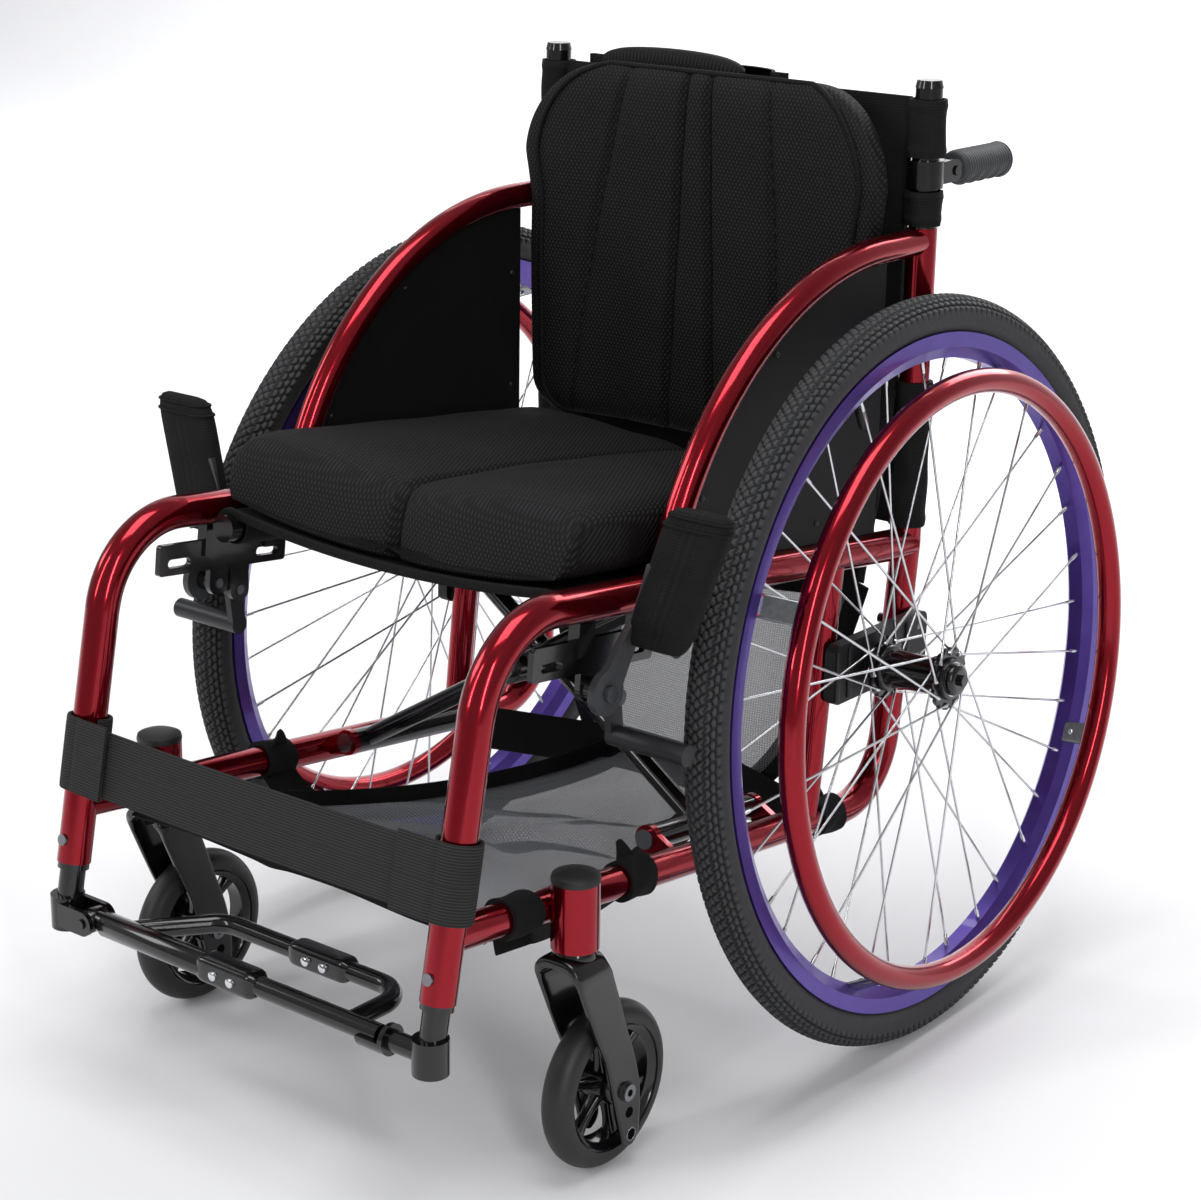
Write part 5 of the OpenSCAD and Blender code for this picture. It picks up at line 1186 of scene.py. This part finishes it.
# %% Net, binding and loops
def basket_points():
    """Along the sheet: floor from front to back with a sag, then a round bend and the leaning wall.

    Half width: 184 mm in front, 64 + 120 q^1.2 over the floor, then 64 mm growing to 166 mm up the wall."""
    s = np.linspace(440, -12, 70)
    q = np.clip((s + 12) / 412, 0, 1)
    floor_n = -14.6 - 22 * np.sin(math.pi * q) ** 0.8
    foot = on_rails(0, -14.6, -12.0)[1:]
    top = np.array([POST_Y - 34.0, 352.0])
    t = np.linspace(0, 1, 40)[1:, None]
    knee = foot + [20, -2]
    wall = (1 - t) ** 2 * foot + 2 * t * (1 - t) * knee + t ** 2 * top
    floor = on_rails(0, floor_n, s)[:, 1:]
    line = np.concatenate([floor, wall])
    k = np.linspace(-1, 1, 61)
    half = np.concatenate([64 + 120 * q ** 1.2, 64 + 102 * t[:, 0]])
    x = half[:, None] * k
    floor_belly = 14 * np.sin(np.linspace(0.1, math.pi * 0.80, 70))
    belly = np.concatenate([floor_belly, 8 + 7 * np.sin(t[:, 0] * math.pi)])
    push = belly[:, None] * (1 - k ** 2)
    along = np.linspace(0, 1, len(line))[:, None]
    ripple = (1.6 * np.sin(0.035 * x + 14 * along) + 1.2 * np.sin(26 * along - 0.02 * x)) * (1 - k ** 4)
    fold = along - 0.0009 * x
    crease = 8 * bell(x, -30 + 150 * along, 13) * bell(along, 0.25, 0.2)
    crease = crease + 12 * bell(fold, 0.30, 0.018) - 7 * bell(fold, 0.35, 0.02) + 9 * bell(fold, 0.43, 0.02)
    ripple = ripple - crease * (1 - k ** 4)
    tangent = unit(np.gradient(line, axis=0))
    normal = xyz(-tangent[:, 1], tangent[:, 0])
    out = line[:, None] + normal[:, None] * (push + ripple)[..., None]
    dip = np.zeros_like(x)
    dip[-12:] = np.linspace(0, -14, 12)[:, None] * (1 - k ** 2)
    return xyz(x, out[..., 0], out[..., 1] + dip), line, half


points, line, half = basket_points()
length = run_length(line)
shape = surface(points, uv=xyz(length[:, None], points[..., 0]) * MM)
net_piece = piece("basket_net", shape, NET, "left_frame", "grey_mesh", "basket", between="frames")
skin = net_piece.modifiers.new("thickness", "SOLIDIFY")
skin.thickness, skin.offset = 0.0012, 0
tape, flat_tape = soft_box(28, 2.8, 16, 0.5), soft_box(2.8, 25, 16, 0.5)
edges = [sweep(points[:72, k], tape, (1, 0, 0.3)) for k in (0, -1)]
edges += [sweep(points[67:, k], flat_tape, (1, 0, 0.3)) for k in (0, -1)]
edges.append(sweep(points[0], soft_box(2.8, 22, 16, 0.5), (0, 1, 0.2)))
edges.append(sweep(points[-1], soft_box(2.8, 24, 16, 0.5), (0, 0.2, 1)))
x = np.linspace(-176, 176, 81)
row, hold = points[74], on_rails(0, -13.0, 26.0)
reach = np.clip((np.abs(x) - 66) / 110, 0, 1)
low_y, low_z = [np.interp(x, row[:, 0], row[:, k]) * (1 - reach) + hold[k] * reach for k in (1, 2)]
low_line = xyz(x, low_y, low_z)
edges.append(sweep(low_line, soft_box(2.8, 38, 20, 0.4), (0, 0.3, 1)))
trim("basket_binding", edges)
k = np.linspace(0, 1, 14)
tab_line = on_rails(181 - 33 * k, -9 - 26 * k ** 0.8, 291 - 4 * k)
tab = sweep(tab_line, np.stack([soft_box(34 + 16 * q, 2.6, 20, 0.4) for q in k]), (0.5, 0, 0.85))
piece("basket_tabs", [tab, mirrored(tab)], CLOTH, "left_frame", "black_cloth", between="frames")


def loop_shape(s0, width, tab):
    """A cloth loop round the lower rail; tab is the height of a pointed end that stands off it."""
    ss, aa = np.meshgrid(np.linspace(s0, s0 + width, 12), turns(40), indexing="ij")
    r = 15.8 + 0.7 * np.sin(3 * aa + 0.2 * ss)
    outer = on_rails(FRAME_X + r * np.cos(aa), r * np.sin(aa), ss)
    inner = on_rails(FRAME_X + 12.8 * np.cos(aa), 12.8 * np.sin(aa), ss)
    shapes = [surface(np.concatenate([outer, inner[::-1]]), True, True)]
    if tab:
        t = np.linspace(0, 1, 12)
        tail_line = on_rails(FRAME_X - 6 - 5 * t, 12 + tab * t, s0 + width / 2 + 4 * t ** 2)
        wide = np.stack([soft_box(width * (0.7 - 0.55 * q), 3.0, 16, 0.35) for q in t])
        shapes.append(sweep(tail_line, wide, (1, 0, 0)))
    return shapes


loops = loop_shape(17, 30, 16) + loop_shape(276, 30, 15) + loop_shape(410, 32, 0)
pair("basket_loops", loops, CLOTH, "frame", "black_cloth")
t = np.linspace(0, 1, 24)
tie = xyz(164 + 8 * t + 3 * np.sin(math.pi * t), 46 + 26 * t, 352 + 190 * t ** 0.9)
pair("basket_tie", sweep(tie, soft_box(15, 2.2, 16, 0.3), (0, -0.3, 0.4)), WEBBING, "frame", "black_cloth")

# %% [markdown]
# ## Brake lever covers
# A padded cloth cover is pulled over each brake lever, flat and a little fuller towards its round top, with a
# band of binding sewn across the upper end.

# %% Padded lever covers
PAD_LOW, PAD_H, PAD_W, PAD_T = 397.0, 108.0, 57.0, 19.0
PAD_Y, PAD_X, PAD_LEAN, PAD_TILT = -315.9, 200.75, 34.0, 8.0


def pad_points(grow=0.0):
    """Sections from low to high: width and thickness swell between rounded ends, and the middle leans out."""
    a = turns(64)
    px, py = squared(np.cos(a), 0.55), squared(np.sin(a), 0.7)
    vv, qx, qy = np.broadcast_arrays(np.linspace(0, 1, 60)[:, None], px, py)
    end = np.clip(1 - np.abs(2 * vv - 1) ** 8, 0, 1) ** 0.45
    half = PAD_W / 2 * (0.62 + 0.38 * end) * (0.95 + 0.06 * vv)
    thick = PAD_T / 2 * (0.15 + 0.85 * end) * (1.04 - 0.1 * vv)
    mid = PAD_X + PAD_W / 2 + PAD_LEAN * vv
    dents = 0.8 * np.sin(9 * vv + 0.05 * qx) * np.sin(4 * vv) * (1 - qx ** 2)
    x = mid + (half + grow) * qx
    y = PAD_Y + PAD_TILT * vv + (thick + grow + dents * 0.6) * qy + 2.0 * bell(vv, 0.12, 0.06) * -qy
    return xyz(x, y, PAD_LOW + PAD_H * vv)


shape = surface(pad_points(), False, True, True, flat_uv(150, PAD_H, 60, 65))
pads = pair("lever_cover", shape, CLOTH, "lever", "black_cloth", "brake_pad", crease=70)
points = pad_points(0.5)
bands = [sweep(points[k], ring(1.1, 8), (0, 0, 1), wrap=True) for k in (52, 56)]
pair("lever_binding", bands, PIPING, "lever", "black_cloth")
print("brake covers made")

# %% [markdown]
# ## Small fittings
# Screws hold the guards to the fender tubes, a bolt clamps each footrest sleeve, and every one is a short
# turned head.

# %% Screws of the guards and footrest
screw = lathe([(0.4, 1.5), (1.2, 1.4), (2.1, 0.9), (2.5, 0.2), (2.5, -0.6), (1, -0.8)], 16)
FENDER_Y, FENDER_Z, FENDER_R = 20, 347, 270
arc = np.radians([122, 150])
spots = list(zip(FENDER_Y + FENDER_R * np.cos(arc), FENDER_Z + FENDER_R * np.sin(arc)))
spots += [(14, 470), (14, 570), (-60, 430)]
screws = [turned(screw, (FRAME_X + k * 1.9, y, z), (k, 0, 0)) for y, z in spots for k in (1, -1)]
pair("guard_screws", screws, SATIN_GREY, "frame", "grey_metal")
FOOT_Z = 141.0
FOOT_Y = leg_y(FOOT_Z)
hex_head = lathe([(0.6, 3.0), (2.4, 2.9), (3.6, 2.1), (3.9, 0.5), (3.9, -0.6), (1, -0.8)], 20)
spots = [(-17, -10.0), (1, -10.0), (17, 52.4), (35, 52.4)]
heads = [turned(hex_head, (x, FOOT_Y + back, FOOT_Z), (0, -1, 0)) for x, back in spots]
piece("footrest_bolts", heads, STEEL, "foot_bar", "steel")
print("guard screws", len(screws), "and footrest bolts", len(heads))

# %% [markdown]
# The footrest is bent tube: a thick bar from the hinge, a thinner one out of it to the far side, and a hoop
# behind. Two slim sleeves clamp the tubes.

# %% Footrest tubes
def filleted(corners, radius, count=14):
    """A path through corners, each replaced by an arc of the given radius."""
    corners = np.asarray(corners, float)
    path = [corners[:1]]
    for a, b, c in zip(corners[:-2], corners[1:-1], corners[2:]):
        u, v = unit(a - b), unit(c - b)
        half = math.acos(float(np.clip(u @ v, -1, 1))) / 2
        centre = b + unit(u + v) * radius / math.sin(half)
        first = b + u * radius / math.tan(half) - centre
        last = b + v * radius / math.tan(half) - centre
        t = np.linspace(0, 1, count)[:, None] * (math.pi - 2 * half)
        side = unit(last - first * (first @ last) / radius ** 2) * radius
        path.append(centre + first * np.cos(t) + side * np.sin(t))
    return np.concatenate(path + [corners[-1:]])


def foot_tube(line, radius):
    """A round tube along a path of (x, back) at the footrest's height."""
    x, back = np.asarray(line, float).T
    return sweep(xyz(x, FOOT_Y + back, FOOT_Z), ring(radius, 32), (0, 0, 1))


PIN_X, TIP_X = -FRAME_X + 30, FRAME_X - 47
hoop_line = filleted([(PIN_X + 34, 0), (PIN_X + 82, 62), (TIP_X - 32, 62), (TIP_X - 32, 0)], 26)
bar = lathe([(8, 4), (8, 13.5), (9.4, 14), (10, 15), (10, 4 - PIN_X), (9.2, 5.6 - PIN_X), (8, 6 - PIN_X)], 40)
bar = moved(bar, lambda v: v[:, [2, 1, 0]] + [PIN_X, FOOT_Y, FOOT_Z])
knuckle = lathe([(5.2, -9), (9, -9), (9.5, -8.4), (9.5, 8.4), (9, 9), (5.2, 9)], 32)
knuckle = turned(knuckle, (PIN_X, FOOT_Y, FOOT_Z), (0, 1, 0))
sleeves = []
for x_mid, back_mm, size in ((-8, 0, 20.6), (26, 62, 18.6)):
    t = np.linspace(-1, 1, 20)
    fat = np.clip(1 - np.abs(t) ** 16, 0.5, 1) ** 0.5
    line = xyz(x_mid + 30.8 * t, FOOT_Y + back_mm, FOOT_Z)
    sleeves.append(sweep(line, np.stack([soft_box(size * q, size * q, 32, 0.42) for q in fat]), (0, 0, 1)))
tubes = [bar, knuckle, foot_tube([(0, 0), (TIP_X - 1, 0), (TIP_X, 0)], 8.0), foot_tube(hoop_line, 7.5)]
piece("footrest_tubes", tubes, GLOSS_BLACK, "foot_bar", "gloss_black", "footrest", crease=50)
piece("footrest_sleeves", sleeves, GLOSS_BLACK, "foot_bar", "gloss_black", crease=50)
print("footrest made")

# %% [markdown]
# ## Stage and light
# A pale sweep of paper stands under and behind the chair. Soft boxes light the chair from above, the right
# and behind, and tall strips at the left and in front give the long highlights on the tubes.

# %% Stage
PAPER_REACH, PAPER_BACK, PAPER_BEND, PAPER_TOP = 40000, 3200, 1800, 9000
t = np.linspace(0, math.pi / 2, 24)
bend = xyz(PAPER_BACK + PAPER_BEND * np.sin(t), PAPER_BEND - PAPER_BEND * np.cos(t))
profile = np.concatenate([[[-PAPER_REACH, 0]], bend, [[PAPER_BACK + PAPER_BEND, PAPER_TOP]]])
paper_x = np.linspace(-PAPER_REACH, PAPER_REACH, 3)[:, None]
paper_points = xyz(paper_x, profile[:, 0], profile[:, 1])
PAPER, tree, shader = finish("pale_studio_paper", Roughness=0.85)
dress(tree, shader, (grain(tree, 400), "#e9e9eb", "#eeeef0"))
paper = bpy.data.meshes.new("studio_paper")
shape = surface(paper_points)
paper.from_pydata((shape["v"] * MM).tolist(), [], shape["q"].tolist())
paper.polygons.foreach_set("use_smooth", np.ones(len(paper.polygons), bool))
paper.materials.append(PAPER)
floor = bpy.data.objects.new("studio_paper", paper)
bpy.context.scene.collection.objects.link(floor)


def lamp(name, at, aim, size, power):
    """A soft light of width and height size that looks from one point at another."""
    data = bpy.data.lights.new(name, "AREA")
    data.shape, data.energy = "RECTANGLE", power
    data.size, data.size_y = size
    thing = bpy.data.objects.new(name, data)
    back = unit(np.subtract(at, aim).astype(float))
    nearly_up = [0, 0.001, 1.0]
    right = unit(np.cross(nearly_up, back))
    up = np.cross(back, right)
    thing.matrix_world = Matrix([[right[k], up[k], back[k], at[k]] for k in range(3)] + [[0, 0, 0, 1]])
    bpy.context.scene.collection.objects.link(thing)


lamp("top_soft_box", (0.2, -0.4, 3.4), (0, 0, 0.3), (1.8, 1.8), 50)
lamp("left_strip", (2.7, -2.0, 1.7), (0, 0, 0.4), (0.35, 2.2), 34)
lamp("front_strip", (-0.9, -3.1, 2.1), (0, 0, 0.4), (0.35, 2.2), 26)
lamp("right_soft_box", (-3.0, -1.6, 2.2), (0, 0, 0.4), (1.2, 1.2), 22)
lamp("rear_box", (0.2, 3.0, 2.2), (0, 0, 0.5), (1.6, 1.6), 44)
lamp("paper_light", (-2.2, 2.4, 3.8), (-2.6, 5.0, 1.4), (4.0, 2.0), 190)
world = bpy.data.worlds.new("studio_air")
world.use_nodes = True
air = world.node_tree.nodes["Background"].inputs
air["Color"].default_value = hex_colour("#f4f5f7")
air["Strength"].default_value = 0.40
bpy.context.scene.world = world
bpy.context.scene.view_settings.view_transform = "Standard"
print("paper bends up", PAPER_BACK, "mm behind the origin")

# %% [markdown]
# ## Camera
# The camera stands where the photograph was taken from: its turn, height, distance and focal length were
# matched to the upper of the two pictures. The zoom lets the chair fill the frame.

# %% Camera
AZ, EL, DIST, ROLL = math.radians(38.36), math.radians(17.62), 2237.7, math.radians(0.97)
ZOOM, FOCAL_PX, FRAME_PX = 2.05, 1308.5, 1201
target = np.array([0, -90.4, 333.3])
back = np.array([math.sin(AZ) * math.cos(EL), -math.cos(AZ) * math.cos(EL), math.sin(EL)])
right = np.array([math.cos(AZ), math.sin(AZ), 0])
up = np.cross(back, right)
right, up = right * math.cos(ROLL) + up * math.sin(ROLL), up * math.cos(ROLL) - right * math.sin(ROLL)
eye = place(target + back * DIST)
lens = bpy.data.cameras.new("photo_camera")
lens.sensor_fit, lens.sensor_width = "HORIZONTAL", 36.0
lens.lens = FOCAL_PX * ZOOM * lens.sensor_width / FRAME_PX
lens.clip_end = 100
camera = bpy.data.objects.new("photo_camera", lens)
camera.matrix_world = Matrix([[right[k], up[k], back[k], eye[k]] for k in range(3)] + [[0, 0, 0, 1]])
bpy.context.scene.collection.objects.link(camera)
bpy.context.scene.camera = camera
print("camera at", np.round(eye, 3), "lens", round(lens.lens, 2))
